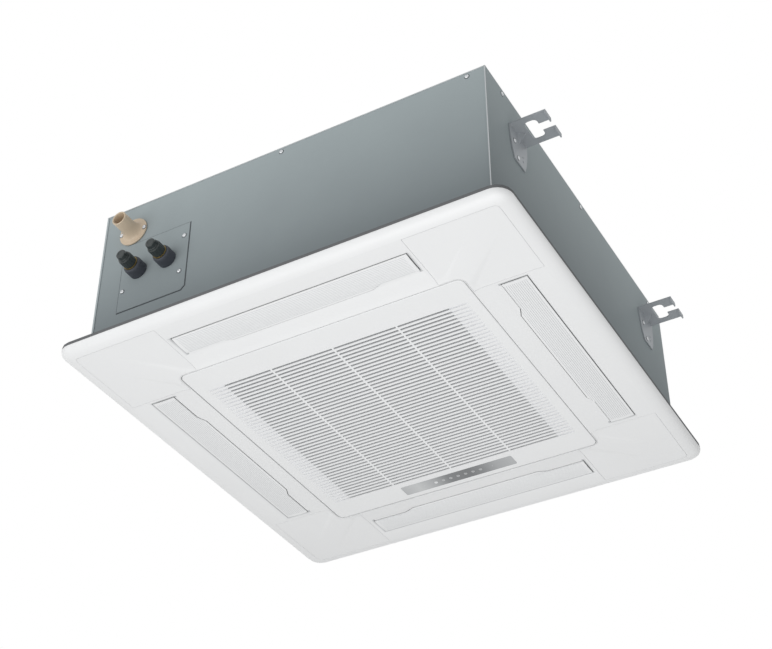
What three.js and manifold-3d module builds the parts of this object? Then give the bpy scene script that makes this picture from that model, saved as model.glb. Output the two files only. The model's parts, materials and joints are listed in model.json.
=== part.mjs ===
// Ceiling cassette air conditioner with a four-way air outlet panel.
//
// Frame: z = 0 is the ceiling plane and +Z points up into the ceiling void.
// -Y is the side with the pipe and drain connections, and the display strip is
// on the +Y edge of the intake grille. All sizes are in millimetres.

import * as THREE from 'three';
import { mergeVertices } from 'three/addons/utils/BufferGeometryUtils.js';
import { ConvexGeometry } from 'three/addons/geometries/ConvexGeometry.js';
import Module from 'manifold-3d';

const wasm = await Module();
wasm.setup();

// ---------------------------------------------------------------------------
// Driving dimensions
// ---------------------------------------------------------------------------

const SEAT = 0.3;                    // gap between two pieces that rest on each other
const RUNNING_GAP = 0.35;            // gap round a pin or shaft that moves
const PAST = 1;                      // a cut runs this far past the face that it opens
const BITE = 0.5;                    // an added shape sinks this far into its neighbour

// Casing of bent sheet metal
const BODY_WIDTH = 860;              // over the outer faces, both ways
const BODY_TOP = 342;                // upper face of the top plate above the ceiling
const SHEET = 1.2;
const BASE_FLANGE = 20;              // in-turned foot of each side panel
const TOP_LIP = 25;                  // down-turned lip of the top plate
const HEM_WIDTH = 4;                 // folded corner edge that shows beside the pipe face
const BEAD_WIDTH = 14;               // pressed stiffening beads of the top plate
const BEAD_HEIGHT = 2.5;
const BEAD_INSET = 195;              // a bead's centre line, inside the casing's face
const BEAD_SPACE = 35;               // from the end of one bead to the line of the next
const LINER_WALL = 12;
const LINER_HOLE_SPACE = 4;          // round the corners of the motor's hanger plate

// Decoration panel under the ceiling
const PANEL_LAP = 45;                // reach of the panel past the casing
const PANEL_CORNER = 32;
const PANEL_DROP = 22;               // flat face below the ceiling
const PANEL_WALL = 3.5;
const RIM_DROP = 8;                  // lower end of the rim's straight side
const RIM_SLOPE = 26;                // width of the rounded border
const RIM_INNER_STEP = 1;            // by which the inside is less wide
const COLLAR_GAP = 0.5;              // upright walls end this far under the casing
const GASKET_THICKNESS = 7;
const GASKET_INSET = 0.3;            // behind the panel's edge
const GASKET_CLEAR = 1.5;            // outside the casing
const GASKET_CORNER = 2;
const PANEL_BOSS_INSET = 77;         // screw bosses under the corner covers
const PANEL_BOSS_RADIUS = 10;
const PANEL_SCREW_RADIUS = 3;

// Intake grille and the raised ring round it
const GRILLE_CORNER = 14;
const GRILLE_GAP = 1.5;
const GRILLE_PROUD = 3;              // grille face below the panel face
const GRILLE_PLATE = 3.5;
const GRILLE_SKIRT = 10;             // height of the grille's edge wall
const GRILLE_SKIRT_WALL = 2.5;
const GRILLE_EDGE = 2;               // rounding of the outer edge
const GRILLE_BORDER = 60.5;          // plain border round the field of slots
const FIELD_FRAME = 4;               // thicker margin of that field
const FACE_SKIN = 1;                 // depth at which the thicker bars begin
const RING_LIP = 2;                  // flat lip beside the gap
const RING_SLOPE = 16;
const RING_FLAT = 10;                // from the ring to the recess round a louver
const OPENING_WALL = 4;
const SLOT_PITCH = 10.6;
const SLOT_WIDTH = 4.8;
const BAR_DEPTH = 7;
const RIB_SPACING = 137.2;           // between the cross ribs
const RIB_WIDTH = 4;

// Grille hinge, catches and filter
const HINGE_INSET = 15;              // axis inside the grille's edge
const HINGE_RISE = 6;                // axis above the grille's face
const HINGE_PIN = 1.5;
const HINGE_EYE = 3;                 // outer radius of the lug's eye
const HINGE_ARM = 2.6;               // thickness of the lug where it crosses the edge
const HINGE_AT = 180;
const HINGE_LUG = 8;
const HINGE_ROOT = 1;                // depth of the lug's root on the opening's wall
const HINGE_EAR = 4;
const NOTCH_SKIN = 2.6;              // face left where the grille's wall is notched
const CATCH_AT = 190;
const CATCH_WALL = 1.6;
const CATCH_GRIP = 1;                // between a hook and each prong of its clip
const CATCH_HEIGHT = 6;
const CATCH_PRONG = 6;
const CATCH_LIFT = 1.5;              // clip above the grille's edge wall
const HOOK_WIDTH = 10;
const HOOK_THICKNESS = 2;
const HOOK_INSET = 9;
const HOOK_RISE = 10.5;
const FILTER_LAP = 7;                // filter past the field of slots
const FILTER_BORDER = 12;
const FILTER_THICKNESS = 3;
const FILTER_CORNER = 6;
const FILTER_CELLS = 5;
const FILTER_RIB = 2.4;
const RAIL_WIDTH = 2.5;

// Display strip and its push button
const DISPLAY_LENGTH = 260;
const DISPLAY_WIDTH = 33;
const DISPLAY_INSET = 31;            // centre line inside the grille's edge
const DISPLAY_THICKNESS = 2;
const DISPLAY_CORNER = 3;
const MARK_PITCH = 17.5;
const MARK_MIDDLE = 3;               // number of the mark in the middle, from 0
const BUTTON_RADIUS = 4;
const BUTTON_HEAD = 0.6;
const BUTTON_COLLAR = 0.8;           // reach of the collar past the cap
const COLLAR_SPAN = [0.3, 1.2];      // both faces of the collar behind the strip
const STEM_DEPTH = 3.2;              // blind hole behind the button
const BOARD_LENGTH = 190;
const BOARD_WIDTH = 24;
const BOARD_HEIGHT = 5;
const BOARD_SPACE = 1;

// Air outlets and their louvers
const OUTLET_INSET = 19;             // inside the casing's face
const OUTLET_WIDTH = 65.5;
const OUTLET_END = 176;              // end of an outlet, from the casing's face
const OUTLET_WALL = 9;
const RECESS_INNER_BORDER = 10.5;    // shallow recess round a louver, past the outlet
const RECESS_OUTER_BORDER = 3;
const RECESS_MARGIN = 6;
const RECESS_DEPTH = 2.5;
const RECESS_LEDGE = 1;
const RECESS_PAST = 0.02;            // its slopes are cut from just under the face
const LOUVER_INNER_SPACE = 4.5;      // blade's edges inside the outlet
const LOUVER_OUTER_SPACE = 3;
const LOUVER_END_SPACE = 4;
const LOUVER_STEP = 8;               // inner edge stands back at both ends
const LOUVER_STEP_LENGTH = 100;
const LOUVER_STEP_RAMP = 20;
const LOUVER_THICKNESS = 2.4;
const LOUVER_SAG = 1.4;
const LOUVER_SHY = 1.6;              // blade's edges above the panel's face
const LOUVER_GAP = 1.5;
const PIVOT_INSET = 22;              // pivot axis outside the blade's inner edge
const PIVOT_RADIUS = 2.2;
const PIVOT_SOCKET = 6;              // depth of the blind end of the pivot hole
const PIVOT_REACH = 6;               // pin past the wall, into the motor
const ARM_RADIUS = 5;
const ARM_THICKNESS = 3;
const ARM_SETBACK = 1;               // arm inside the blade's end
const ARM_SINK = 1;                  // its foot in the blade
const ARM_FOOT_INNER = 12;           // foot of the arm on both sides of the axis
const ARM_FOOT_OUTER = 16;
const STEPPER_RADIUS = 9;
const STEPPER_LENGTH = 18;
const STEPPER_EAR = 17;
const STEPPER_EAR_HALF = 4;
const STEPPER_PLATE = 2;
const STEPPER_BORE_DEPTH = 8;

// Corner covers
const COVER_SPACE = 8;               // seam beside the end of an outlet
const COVER_INSET = 28;              // seam inside the panel's edge
const COVER_CORNER = 10;
const COVER_THICKNESS = 1.8;
const COVER_GAP = 0.4;
const WEDGE_INSET = 61;              // end of the raised wedge, inside the panel's edge
const WEDGE_CREST = 20;              // half width of its crest at the ring
const WEDGE_FOOT = 32;               // half width of its foot at the ring
const WEDGE_END = 26;                // half width where it runs out
const WEDGE_TUCK = 6;                // begins this far inside the cover's edge
const WEDGE_SHY = 0.2;               // crest behind the ring's face

// Drain pan
const PAN_TOP = 62;
const TROUGH_INSET = 18.5;           // inside the outlet's inner wall
const TROUGH_SPACE = 5;              // beside the coil
const TROUGH_INNER_CORNER = 20;
const TROUGH_FLOOR = 32;
const PAN_LEDGE = 50;
const PAN_RIM = 17;                  // wall between the trough and the middle hole
const PAN_HOLE_CORNER = 22;
const PAN_NECK_STEP = 18;
const PAN_NECK_CORNER = 40;
const SUMP_FLOOR = 18;
const SUMP_HALF_X = 51;
const SUMP_HALF_Y = 34;
const SUMP_CORNER = 14;
const PAN_RELIEF = 1;                // room over the hinge lugs and louver motors
const GUTTER_HALF = 12;
const GUTTER_LAP = 20;               // gutter under the trough
const GUTTER_FALL = 4;

// Heat exchanger
const COIL_DEPTH = 38;
const COIL_CORNER = 60;
const COIL_SHORT = 250;              // both ends stop this far from the pipe corner
const END_PLATE = 1.5;
const END_PLATE_MARGIN = 3;
const END_PLATE_LIFT = 1;            // above the bottom of the coil
const BEND_COUNT = 3;
const BEND_SPACE = 0.2;              // inside both faces of the coil
const BEND_TUBE = 4.8;
const PARTITION_FLANGE = 9;

// Fan, motor and bell mouth
const FAN_SPACE = 60;                // between the coil and the fan
const FAN_BASE = 92;
const FAN_LAP = 15;                  // motor stands this deep in the fan's cup
const FAN_BLADES = 7;
const FAN_SHEET = 2.5;
const FAN_BORDER = 53.76;            // from the fan's eye to its rim
const BLADE_ROOT = 7.84;             // blades begin inside the top of the cup
const BLADE_SHORT = 1;               // and end inside the rim
const BLADE_TURN = 0.72;             // radians swept from the eye to the rim
const BLADE_CURVE = 0.75;            // how much faster it turns at its root
const BLADE_TIP = 1.4;               // half thickness of a blade at both ends
const BLADE_SWELL = 1.8;
const BLADE_ROOT_DROP = 18;
const SHROUD_RISE = 40;
const SHROUD_NECK = 7;               // the shroud's curve, out from the eye and down
const SHROUD_NECK_DROP = 22;
const SHROUD_BELL = 20;
const SHROUD_BELL_DROP = 8;
const HUB_RADIUS = 20;
const CUP_RADIUS = 67.2;
const CUP_TOP_RADIUS = 119.84;
const HUB_DEPTH = 50;                // hub's lower end under the motor
const HUB_HEIGHT = 30;
const CUP_FOOT = 10;                 // rise of the cup's floor from the hub out
const CUP_ROUND = 22;                // where its wall bends into the back plate
const CUP_ROUND_DROP = 8;
const SHAFT_RADIUS = 6;
const SHAFT_STUB = 6;                // past the nut
const SHAFT_PLAY = 2;
const FAN_NUT_HALF = 11;
const FAN_NUT_HEIGHT = 10;
const MOTOR_RADIUS = 74.66667;
const MOTOR_DROP = 24;               // motor below the casing's top
const MOTOR_HEIGHT = 84;
const MOTOR_NOSE = 8;
const MOTOR_NOSE_RADIUS = 25;
const MOTOR_SLOPE = 6;
const MOTOR_FLANGE = 12;
const MOTOR_FLANGE_SHEET = 6;
const MOTOR_CROWN = 20;              // height of the cap above the flange
const MOTOR_CAP_INSET = 4;
const MOTOR_CAP_SLOPE = 10;
const MOTOR_PLATE_REACH = 30;        // hanger plate past the motor
const MOTOR_PLATE_CORNER = 12;
const MOTOR_PLATE_SHEET = 2;
const MOTOR_PLATE_LEG = 30;
const MOTOR_PLATE_FOOT = 14;
const MOTOR_PLATE_WINDOW = 45;
const THROAT_SPACE = 10;             // throat inside the fan's eye
const THROAT_LAP = 9;                // throat above the fan's lower edge
const MOUTH_INSET = 38;
const MOUTH_SHEET = 2.5;
const MOUTH_TUCK = 0.8;              // share of the sheet by which the flare's back rises

// Control box beside the bell mouth
const CONTROL_SPACE = 5;             // inside the pan's hole
const CONTROL_WIDTH = 60;
const CONTROL_SHORT = 62;
const CONTROL_BASE = 6;
const CONTROL_SHEET = 1.2;
const CONTROL_EDGE = 8;

// Hanger brackets
const HANGER_INSET = 116;            // first rod from the casing's face
const HANGER_SHIFT = 12;             // the pair sits a little towards +Y
const HANGER_DROP = 70;              // upper face of the arm below the casing's top
const HANGER_SHEET = 2.5;
const HANGER_ARM = 74;               // reach out from the casing
const HANGER_WIDTH = 74;
const FOOT_DROP = 77;
const FOOT_TOE = 21;                 // half width of the foot's lower end
const SLOT_BOLT = 20;                // channel for the hanger rod
const SLOT_LAP = 4;                  // channel begins inside the pocket
const SLOT_POCKET = 48;
const SLOT_POCKET_IN = 24;           // pocket begins this far out
const SLOT_POCKET_OUT = 49;
const SLOT_POCKET_CORNER = 8;
const PRONG_LIP = 9;
const GUSSET_HALF = 8;               // dart pressed into the bend
const GUSSET_OUT = 20;
const GUSSET_DOWN = 26;
const FOOT_HOLE = 2.4;               // two spare holes in the foot
const FOOT_HOLE_ACROSS = 14;
const FOOT_HOLES_DOWN = [47, 58];

// Pipe and drain connections on the -Y face, measured from the casing's -X face
const COVER_PLATE_IN = 56;
const COVER_PLATE_WIDTH = 158;
const COVER_PLATE_DROP = 269;        // lower edge below the casing's top
const COVER_PLATE_HEIGHT = 166;
const COVER_PLATE_CHAMFER = 8;
const COVER_PLATE_MARGIN = 34;       // overlap on the casing round the opening
const PIPE_RISE = 89;                // pipe axes above the plate's lower edge
const LIQUID_IN = 99;
const GAS_IN = 168;
const SLEEVE_WALL = 5.5;
const SLEEVE_LENGTH = 25;
const SLEEVE_CLEAR = 2;              // round the nuts
const SLEEVE_TAPER = 6;
const SLEEVE_TIP = 2;
const NUT_LAP = 1.5;                 // its band over the sleeve's end
const NUT_BAND = 2.4;
const NUT_WALL = 2.8;                // from the larger bore to the corners
const NUT_SINK = 6;                  // hexagon begins this deep in the sleeve
const CAP_STEP = 1;                  // cap inside the nut's band
const CAP_LENGTH = 31;
const CAP_BORE = 14;
const CAP_STEPS = [[0, 12], [2.5, 9], [3.5, 2], [6, 0]];   // [in from the rim, from the end]
const PIPE_CLEAR = 1.2;
const GAS_PIPE_RADIUS = 8;
const LIQUID_PIPE_RADIUS = 4.8;
const PIPE_RUN = 78;                 // risers inside the casing's pipe face
const PIPE_BEND = 22;
const GAS_TOP_DROP = 38;             // upper ends of the risers below the coil's top
const LIQUID_TOP_DROP = 78;
const GAS_DRIFT = 20;                // sideways step of each line at its bend
const LIQUID_DRIFT = 12;
const DRAIN_IN = 73;
const DRAIN_DROP = 69;               // below the casing's top
const DRAIN_FLANGE = 32.5;
const DRAIN_FLANGE_THICKNESS = 3.5;
const DRAIN_TUBE = 16;
const DRAIN_WALL = 3;
const DRAIN_LENGTH = 50;
const DRAIN_SWELL = 7;               // of the tube's root at the flange
const DRAIN_FLARE = 18;              // length of the flared root
const DRAIN_TAIL = 24;               // hose tail inside the casing
const HOSE_END = 9;
const TAIL_RADIUS = 9.4;             // both stubs that the hose slides over
const TAIL_WALL = 2;
const WALL_CLEAR = 1.2;

// Drain pump and float switch in the pipe corner
const PUMP_IN = 58;                  // inside the casing's pipe face
const PUMP_RADIUS = 28;
const PUMP_LIFT = 6;                 // above the sump's floor
const PUMP_HEIGHT = 98;
const PUMP_WALL = 3;
const PUMP_CAVITY = 22;
const PUMP_ROOF = 2;
const PUMP_IMPELLER = 17;
const IMPELLER_SPACE = 2;
const VANE = 2;
const VANE_HEIGHT = 14;
const PUMP_SHAFT = 2.5;
const PUMP_SHAFT_REACH = 30;
const SHELF_LIFT = 8;                // above the pan
const SHELF = 3;
const SHELF_FLANGE = 24;
const NOZZLE_LENGTH = 16;
const HOSE_CLEAR = 1.6;              // round both stubs
const HOSE_WALL = 2.6;
const HOSE_STRAIGHT = 6;
const HOSE_BEND = 26;
const HOSE_BOW = [2, 1, -8];         // how far its middle stands off the straight line
const HOSE_LEAD = 4;                 // straight before the spigot's tail
const FLOAT_SPACE = 45;              // from the pump's axis
const FLOAT_RADIUS = 12;
const FLOAT_HEIGHT = 18;
const FLOAT_LIFT = 8;                // above the sump's floor
const STEM_RADIUS = 3;
const STEM_CLIP = 6;
const STEM_CLIP_THICKNESS = 3;
const STEM_HEAD = 8;

// ---------------------------------------------------------------------------
// Plan and levels that follow from them
// ---------------------------------------------------------------------------

const BODY_HALF = BODY_WIDTH / 2;
const PIPE_FACE = BODY_HALF - SHEET - SEAT;        // outer face of the two Y panels
const UNDER_TOP = BODY_TOP - SHEET - SEAT;         // what stands up to the top plate ends here
const BEAD_OFFSET = BODY_HALF - BEAD_INSET;
const HANGER_PITCH = BODY_WIDTH - 2 * HANGER_INSET;
const HANGER_Z = BODY_TOP - HANGER_DROP;
const MOTOR_TOP = BODY_TOP - MOTOR_DROP;
const MOTOR_BASE = MOTOR_TOP - MOTOR_HEIGHT;
const MOTOR_SHOULDER = MOTOR_TOP - MOTOR_CROWN;
const FAN_TOP = MOTOR_BASE + FAN_LAP;
const HUB_BASE = MOTOR_BASE - HUB_DEPTH;
const THROAT_TOP = FAN_BASE + THROAT_LAP;

const PANEL_HALF = BODY_HALF + PANEL_LAP;
const PANEL_FACE = -PANEL_DROP;
const PANEL_INSIDE = PANEL_FACE + PANEL_WALL;
const PANEL_TOP = -GASKET_THICKNESS - SEAT;
const COLLAR_TOP = -COLLAR_GAP;
const PANEL_BOSS_AT = PANEL_HALF - PANEL_BOSS_INSET;
const COVER_EDGE = PANEL_HALF - COVER_INSET;
const COVER_BACK = PANEL_FACE + COVER_THICKNESS;

const OUTLET_OUTER = BODY_HALF - OUTLET_INSET;
const OUTLET_INNER = OUTLET_OUTER - OUTLET_WIDTH;
const OUTLET_HALF = BODY_HALF - OUTLET_END;
const RECESS_INNER = OUTLET_INNER - RECESS_INNER_BORDER;
const LOUVER_INNER = OUTLET_INNER + LOUVER_INNER_SPACE;
const LOUVER_OUTER = OUTLET_OUTER - LOUVER_OUTER_SPACE;
const LOUVER_HALF = OUTLET_HALF - LOUVER_END_SPACE;
const LOUVER_STEP_AT = LOUVER_HALF - LOUVER_STEP_LENGTH;
const PIVOT_OUT = LOUVER_INNER + PIVOT_INSET;
const PIVOT_Z = PANEL_INSIDE + SEAT + STEPPER_RADIUS;
const LOUVER_EDGE = PANEL_FACE + LOUVER_SHY;
const COVER_SEAM = OUTLET_HALF + COVER_SPACE;

const RING_OUTER = RECESS_INNER - RING_FLAT;
const OPENING_HALF = RING_OUTER - RING_SLOPE - RING_LIP;
const OPENING_CORNER = GRILLE_CORNER + GRILLE_GAP;
const GRILLE_HALF = OPENING_HALF - GRILLE_GAP;
const GRILLE_FACE = PANEL_FACE - GRILLE_PROUD;
const GRILLE_BACK = GRILLE_FACE + GRILLE_PLATE;
const FIELD_HALF = GRILLE_HALF - GRILLE_BORDER;
const SLOT_ROWS = Math.floor((2 * FIELD_HALF) / SLOT_PITCH);
const FILTER_HALF = FIELD_HALF + FILTER_LAP;
const FILTER_BASE = GRILLE_FACE + BAR_DEPTH + SEAT;
const DISPLAY_AT = GRILLE_HALF - DISPLAY_INSET;
const DISPLAY_BACK = GRILLE_FACE + DISPLAY_THICKNESS + SEAT;
const HINGE_Y = GRILLE_HALF - HINGE_INSET;
const HINGE_Z = GRILLE_FACE + HINGE_RISE;
const HINGE_SWING = Math.hypot(HINGE_INSET, HINGE_RISE) + RUNNING_GAP;   // clears the edge
const HOOK_Y = -GRILLE_HALF + HOOK_INSET;

const PAN_BASE = SHEET + 2 * SEAT;
const PAN_HALF = PIPE_FACE - SHEET - SEAT;
const TROUGH_OUTER = OUTLET_INNER - TROUGH_INSET;
const COIL_OUTER = TROUGH_OUTER - TROUGH_SPACE;
const COIL_INNER = COIL_OUTER - COIL_DEPTH;
const TROUGH_INNER = COIL_INNER - TROUGH_SPACE;
const COIL_OPEN = BODY_HALF - COIL_SHORT;
const COIL_BASE = TROUGH_FLOOR + SEAT;
const COIL_TOP = UNDER_TOP - LINER_WALL - SEAT;
const BEND_RADIUS = COIL_DEPTH / 2 - BEND_TUBE - BEND_SPACE;
const PAN_HOLE = TROUGH_INNER - PAN_RIM;
const PAN_NECK = PAN_HOLE - PAN_NECK_STEP;
const CONTROL_OUTER = PAN_HOLE - CONTROL_SPACE;
const CONTROL_INNER = CONTROL_OUTER - CONTROL_WIDTH;
const CONTROL_HALF = PAN_HOLE - CONTROL_SHORT;

const FAN_RADIUS = COIL_INNER - FAN_SPACE;
const EYE_RADIUS = FAN_RADIUS - FAN_BORDER;
const BLADE_INNER = CUP_TOP_RADIUS - BLADE_ROOT;
const MOTOR_PLATE_HALF = MOTOR_RADIUS + MOTOR_PLATE_REACH;
const MOUTH_RADIUS = PAN_NECK - MOUTH_INSET;
const THROAT_RADIUS = EYE_RADIUS - THROAT_SPACE;
const HUB_BORE = SHAFT_RADIUS + RUNNING_GAP;

const COVER_PLATE_LEFT = -BODY_HALF + COVER_PLATE_IN;
const COVER_PLATE_BASE = BODY_TOP - COVER_PLATE_DROP;
const PIPE_Z = COVER_PLATE_BASE + PIPE_RISE;
const LIQUID_X = -BODY_HALF + LIQUID_IN;
const GAS_X = -BODY_HALF + GAS_IN;
const NUT_HALF = GAS_PIPE_RADIUS + PIPE_CLEAR + NUT_WALL;
const SLEEVE_BORE = NUT_HALF + SLEEVE_CLEAR;
const SLEEVE_RADIUS = SLEEVE_BORE + SLEEVE_WALL;
const NUT_RADIUS = SLEEVE_BORE + NUT_LAP;
const CAP_RADIUS = NUT_RADIUS - CAP_STEP;
const SLEEVE_FOOT = 2 * SEAT + SHEET;              // distances out from the pipe face
const SLEEVE_END = SLEEVE_FOOT + SLEEVE_LENGTH;
const NUT_START = SLEEVE_END + SEAT;
const CAP_START = NUT_START + NUT_BAND + SEAT;
const DRAIN_X = -BODY_HALF + DRAIN_IN;
const DRAIN_Z = BODY_TOP - DRAIN_DROP;
const DRAIN_BORE = DRAIN_TUBE - DRAIN_WALL;
const DRAIN_ROOT = DRAIN_TUBE + DRAIN_SWELL;
const PUMP_Y = -BODY_HALF + PUMP_IN;
const FLOAT_X = DRAIN_X + FLOAT_SPACE;
const FLOAT_BASE = SUMP_FLOOR + FLOAT_LIFT;
const PUMP_BASE = SUMP_FLOOR + PUMP_LIFT;
const PUMP_TOP = PUMP_BASE + PUMP_HEIGHT;
const PUMP_SHELF = PAN_TOP + SHELF_LIFT;
const HOSE_BORE = TAIL_RADIUS + HOSE_CLEAR;

// ---------------------------------------------------------------------------
// Solid helpers
// ---------------------------------------------------------------------------

/** Welds a geometry and returns it as a solid with its faces pointing out. */
function solidOf(geometry) {
  const bare = new THREE.BufferGeometry();
  bare.setAttribute('position', geometry.getAttribute('position'));
  if (geometry.index) bare.setIndex(geometry.index);
  const welded = mergeVertices(bare, 1e-4);
  const position = welded.getAttribute('position').array;
  const corners = welded.index.array;
  const faces = [];
  let volume = 0;
  for (let i = 0; i < corners.length; i += 3) {
    const [a, b, c] = [corners[i], corners[i + 1], corners[i + 2]];
    if (a === b || b === c || c === a) continue;
    faces.push(a, b, c);
    const p = new THREE.Vector3().fromArray(position, 3 * a);
    const q = new THREE.Vector3().fromArray(position, 3 * b);
    const r = new THREE.Vector3().fromArray(position, 3 * c);
    volume += p.dot(q.cross(r)) / 6;
  }
  if (volume < 0) faces.reverse();
  return new wasm.Manifold(new wasm.Mesh({
    numProp: 3,
    vertProperties: new Float32Array(position),
    triVerts: new Uint32Array(faces),
  }));
}

/** Turns a solid back into a geometry with flat faces. */
function geometryOf(solid) {
  const mesh = solid.getMesh();
  const geometry = new THREE.BufferGeometry();
  geometry.setAttribute('position', new THREE.BufferAttribute(mesh.vertProperties, 3));
  geometry.setIndex(new THREE.BufferAttribute(mesh.triVerts, 1));
  geometry.computeVertexNormals();
  return geometry;
}

function joined(solids) {
  return solids.reduce((whole, next) => whole.add(next));
}

/** Cuts several solids out of one. */
function without(solid, cuts) {
  return cuts.reduce((whole, cut) => whole.subtract(cut), solid);
}

/** Two coordinates as a [lower, upper] pair. */
function ordered(a, b) {
  return [Math.min(a, b), Math.max(a, b)];
}

function block(x0, x1, y0, y1, z0, z1) {
  const box = new THREE.BoxGeometry(x1 - x0, y1 - y0, z1 - z0);
  return solidOf(box.translate((x0 + x1) / 2, (y0 + y1) / 2, (z0 + z1) / 2));
}

/** Extrudes an outline in the XY plane from z0 up to z1. */
function slab(shape, z0, z1, arcSteps = 3) {
  const settings = { depth: z1 - z0, bevelEnabled: false, curveSegments: arcSteps };
  return solidOf(new THREE.ExtrudeGeometry(shape, settings).translate(0, 0, z0));
}

/** Extrudes an outline drawn in (y, z) along X. */
function beamX(shape, x0, x1, arcSteps = 3) {
  const settings = { depth: x1 - x0, bevelEnabled: false, curveSegments: arcSteps };
  const turn = new THREE.Matrix4().makeBasis(
    new THREE.Vector3(0, 1, 0), new THREE.Vector3(0, 0, 1), new THREE.Vector3(1, 0, 0));
  return solidOf(new THREE.ExtrudeGeometry(shape, settings).applyMatrix4(turn).translate(x0, 0, 0));
}

/** Extrudes an outline drawn in (x, z) along Y. */
function beamY(shape, y0, y1, arcSteps = 3) {
  const settings = { depth: y1 - y0, bevelEnabled: false, curveSegments: arcSteps };
  return solidOf(new THREE.ExtrudeGeometry(shape, settings).rotateX(Math.PI / 2).translate(0, y1, 0));
}

/** Revolves (radius, z) points round the Z axis; a closed ring repeats its first point. */
function revolved(points, steps) {
  const profile = points.map(([r, z]) => new THREE.Vector2(r, z));
  return solidOf(new THREE.LatheGeometry(profile, steps).rotateX(Math.PI / 2));
}

/** The same, with the axis along -Y: the points are (radius, distance out from the pipe face). */
function revolvedOut(points, steps, x, z) {
  const profile = points.map(([r, out]) => new THREE.Vector2(r, -out));
  return solidOf(new THREE.LatheGeometry(profile, steps).translate(x, -PIPE_FACE, z));
}

function rodZ(radius, x, y, z0, z1, steps = 16) {
  const rod = new THREE.CylinderGeometry(radius, radius, z1 - z0, steps);
  return solidOf(rod.rotateX(Math.PI / 2).translate(x, y, (z0 + z1) / 2));
}

function rodY(radius, x, z, y0, y1, steps = 16) {
  const rod = new THREE.CylinderGeometry(radius, radius, y1 - y0, steps);
  return solidOf(rod.translate(x, (y0 + y1) / 2, z));
}

function rodX(radius, y, z, x0, x1, steps = 16) {
  const rod = new THREE.CylinderGeometry(radius, radius, x1 - x0, steps);
  return solidOf(rod.rotateZ(Math.PI / 2).translate((x0 + x1) / 2, y, z));
}

function hull(points) {
  return solidOf(new ConvexGeometry(points.map((p) => new THREE.Vector3(...p))));
}

function outline(points) {
  return new THREE.Shape(points.map(([u, v]) => new THREE.Vector2(u, v)));
}

/** A rectangle with round corners, centred on (cx, cy). */
function roundedRect(halfX, halfY, radius, cx = 0, cy = 0) {
  const shape = new THREE.Shape();
  const quarter = Math.PI / 2;
  shape.absarc(cx + halfX - radius, cy + halfY - radius, radius, 0, quarter);
  shape.absarc(cx - halfX + radius, cy + halfY - radius, radius, quarter, 2 * quarter);
  shape.absarc(cx - halfX + radius, cy - halfY + radius, radius, 2 * quarter, 3 * quarter);
  shape.absarc(cx + halfX - radius, cy - halfY + radius, radius, 3 * quarter, 4 * quarter);
  return shape;
}

/** A square plate from z0 up whose lower edge is rounded inwards by `slope`. */
function softPlate(half, radius, z0, z1, slope, rise, roundSteps, arcSteps = 3) {
  const plate = new THREE.ExtrudeGeometry(roundedRect(half, half, radius), {
    depth: z1 - z0,
    bevelEnabled: true,
    bevelThickness: rise,
    bevelSize: slope,
    bevelOffset: -slope,
    bevelSegments: roundSteps,
    curveSegments: arcSteps,
  });
  const wide = half + PAST;
  const above = block(-wide, wide, -wide, wide, z1, z1 + 2 * rise + PAST);
  return solidOf(plate.translate(0, 0, z0 + rise)).subtract(above);
}

/** A frame between two rounded squares. */
function squareRing(outer, outerRadius, inner, innerRadius, z0, z1, arcSteps = 3) {
  const hole = slab(roundedRect(inner, inner, innerRadius), z0 - PAST, z1 + PAST, arcSteps);
  return slab(roundedRect(outer, outer, outerRadius), z0, z1, arcSteps).subtract(hole);
}

/** A round bar or, with a bore, a pipe along a curve. */
function pipe(points, radius, bore, steps, sides) {
  const ring = (r) => {
    const corners = [];
    for (let i = 0; i < sides; i += 1) {
      const turn = (2 * Math.PI * i) / sides;
      corners.push(new THREE.Vector2(r * Math.cos(turn), r * Math.sin(turn)));
    }
    return corners;
  };
  const section = new THREE.Shape(ring(radius));
  if (bore > 0) section.holes.push(new THREE.Path(ring(bore)));
  const extrudePath = new THREE.CatmullRomCurve3(points.map((p) => new THREE.Vector3(...p)));
  return solidOf(new THREE.ExtrudeGeometry(section, { steps, extrudePath, bevelEnabled: false }));
}

/** Copies of one solid turned in quarter turns about Z. */
function fourSides(solid) {
  return joined([0, 90, 180, 270].map((turn) => solid.rotate([0, 0, turn])));
}

// ---------------------------------------------------------------------------
// Finishes
// ---------------------------------------------------------------------------

function finish(color, roughness, metalness = 0) {
  return { color, roughness, metalness };
}

const WHITE_PLASTIC = finish(0xe9eaea, 0.45);
const GREY_SHEET = finish(0x8f9799, 0.5, 0.35);
const ZINC = finish(0x9da1a3, 0.38, 0.7);
const DARK_FOAM = finish(0x5f6061, 0.95);
const PALE_FOAM = finish(0xdcdcd6, 0.9);
const BLACK_PLASTIC = finish(0x23282b, 0.45);
const SLATE_RUBBER = finish(0x3d4350, 0.7);
const BRASS = finish(0xb08d4a, 0.35, 0.9);
const COPPER = finish(0xb36b45, 0.35, 0.9);
const ALUMINIUM = finish(0xb8bcbe, 0.45, 0.8);
const CREAM_PLASTIC = finish(0xc8b79a, 0.55);
const GREY_PLASTIC = finish(0x55595c, 0.6);
const MIRROR_STRIP = finish(0x8d9092, 0.2, 0.4);
const STEEL = finish(0xa9acae, 0.3, 0.9);
const BOARD_GREEN = finish(0x2f5d3d, 0.6);

const unit = new THREE.Group();

/** Adds one named piece, by default straight into the unit. */
function add(name, solid, look, parent = unit) {
  const mesh = new THREE.Mesh(geometryOf(solid), new THREE.MeshStandardMaterial(look));
  mesh.name = name;
  parent.add(mesh);
}

// ---------------------------------------------------------------------------
// Casing
// ---------------------------------------------------------------------------

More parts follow.
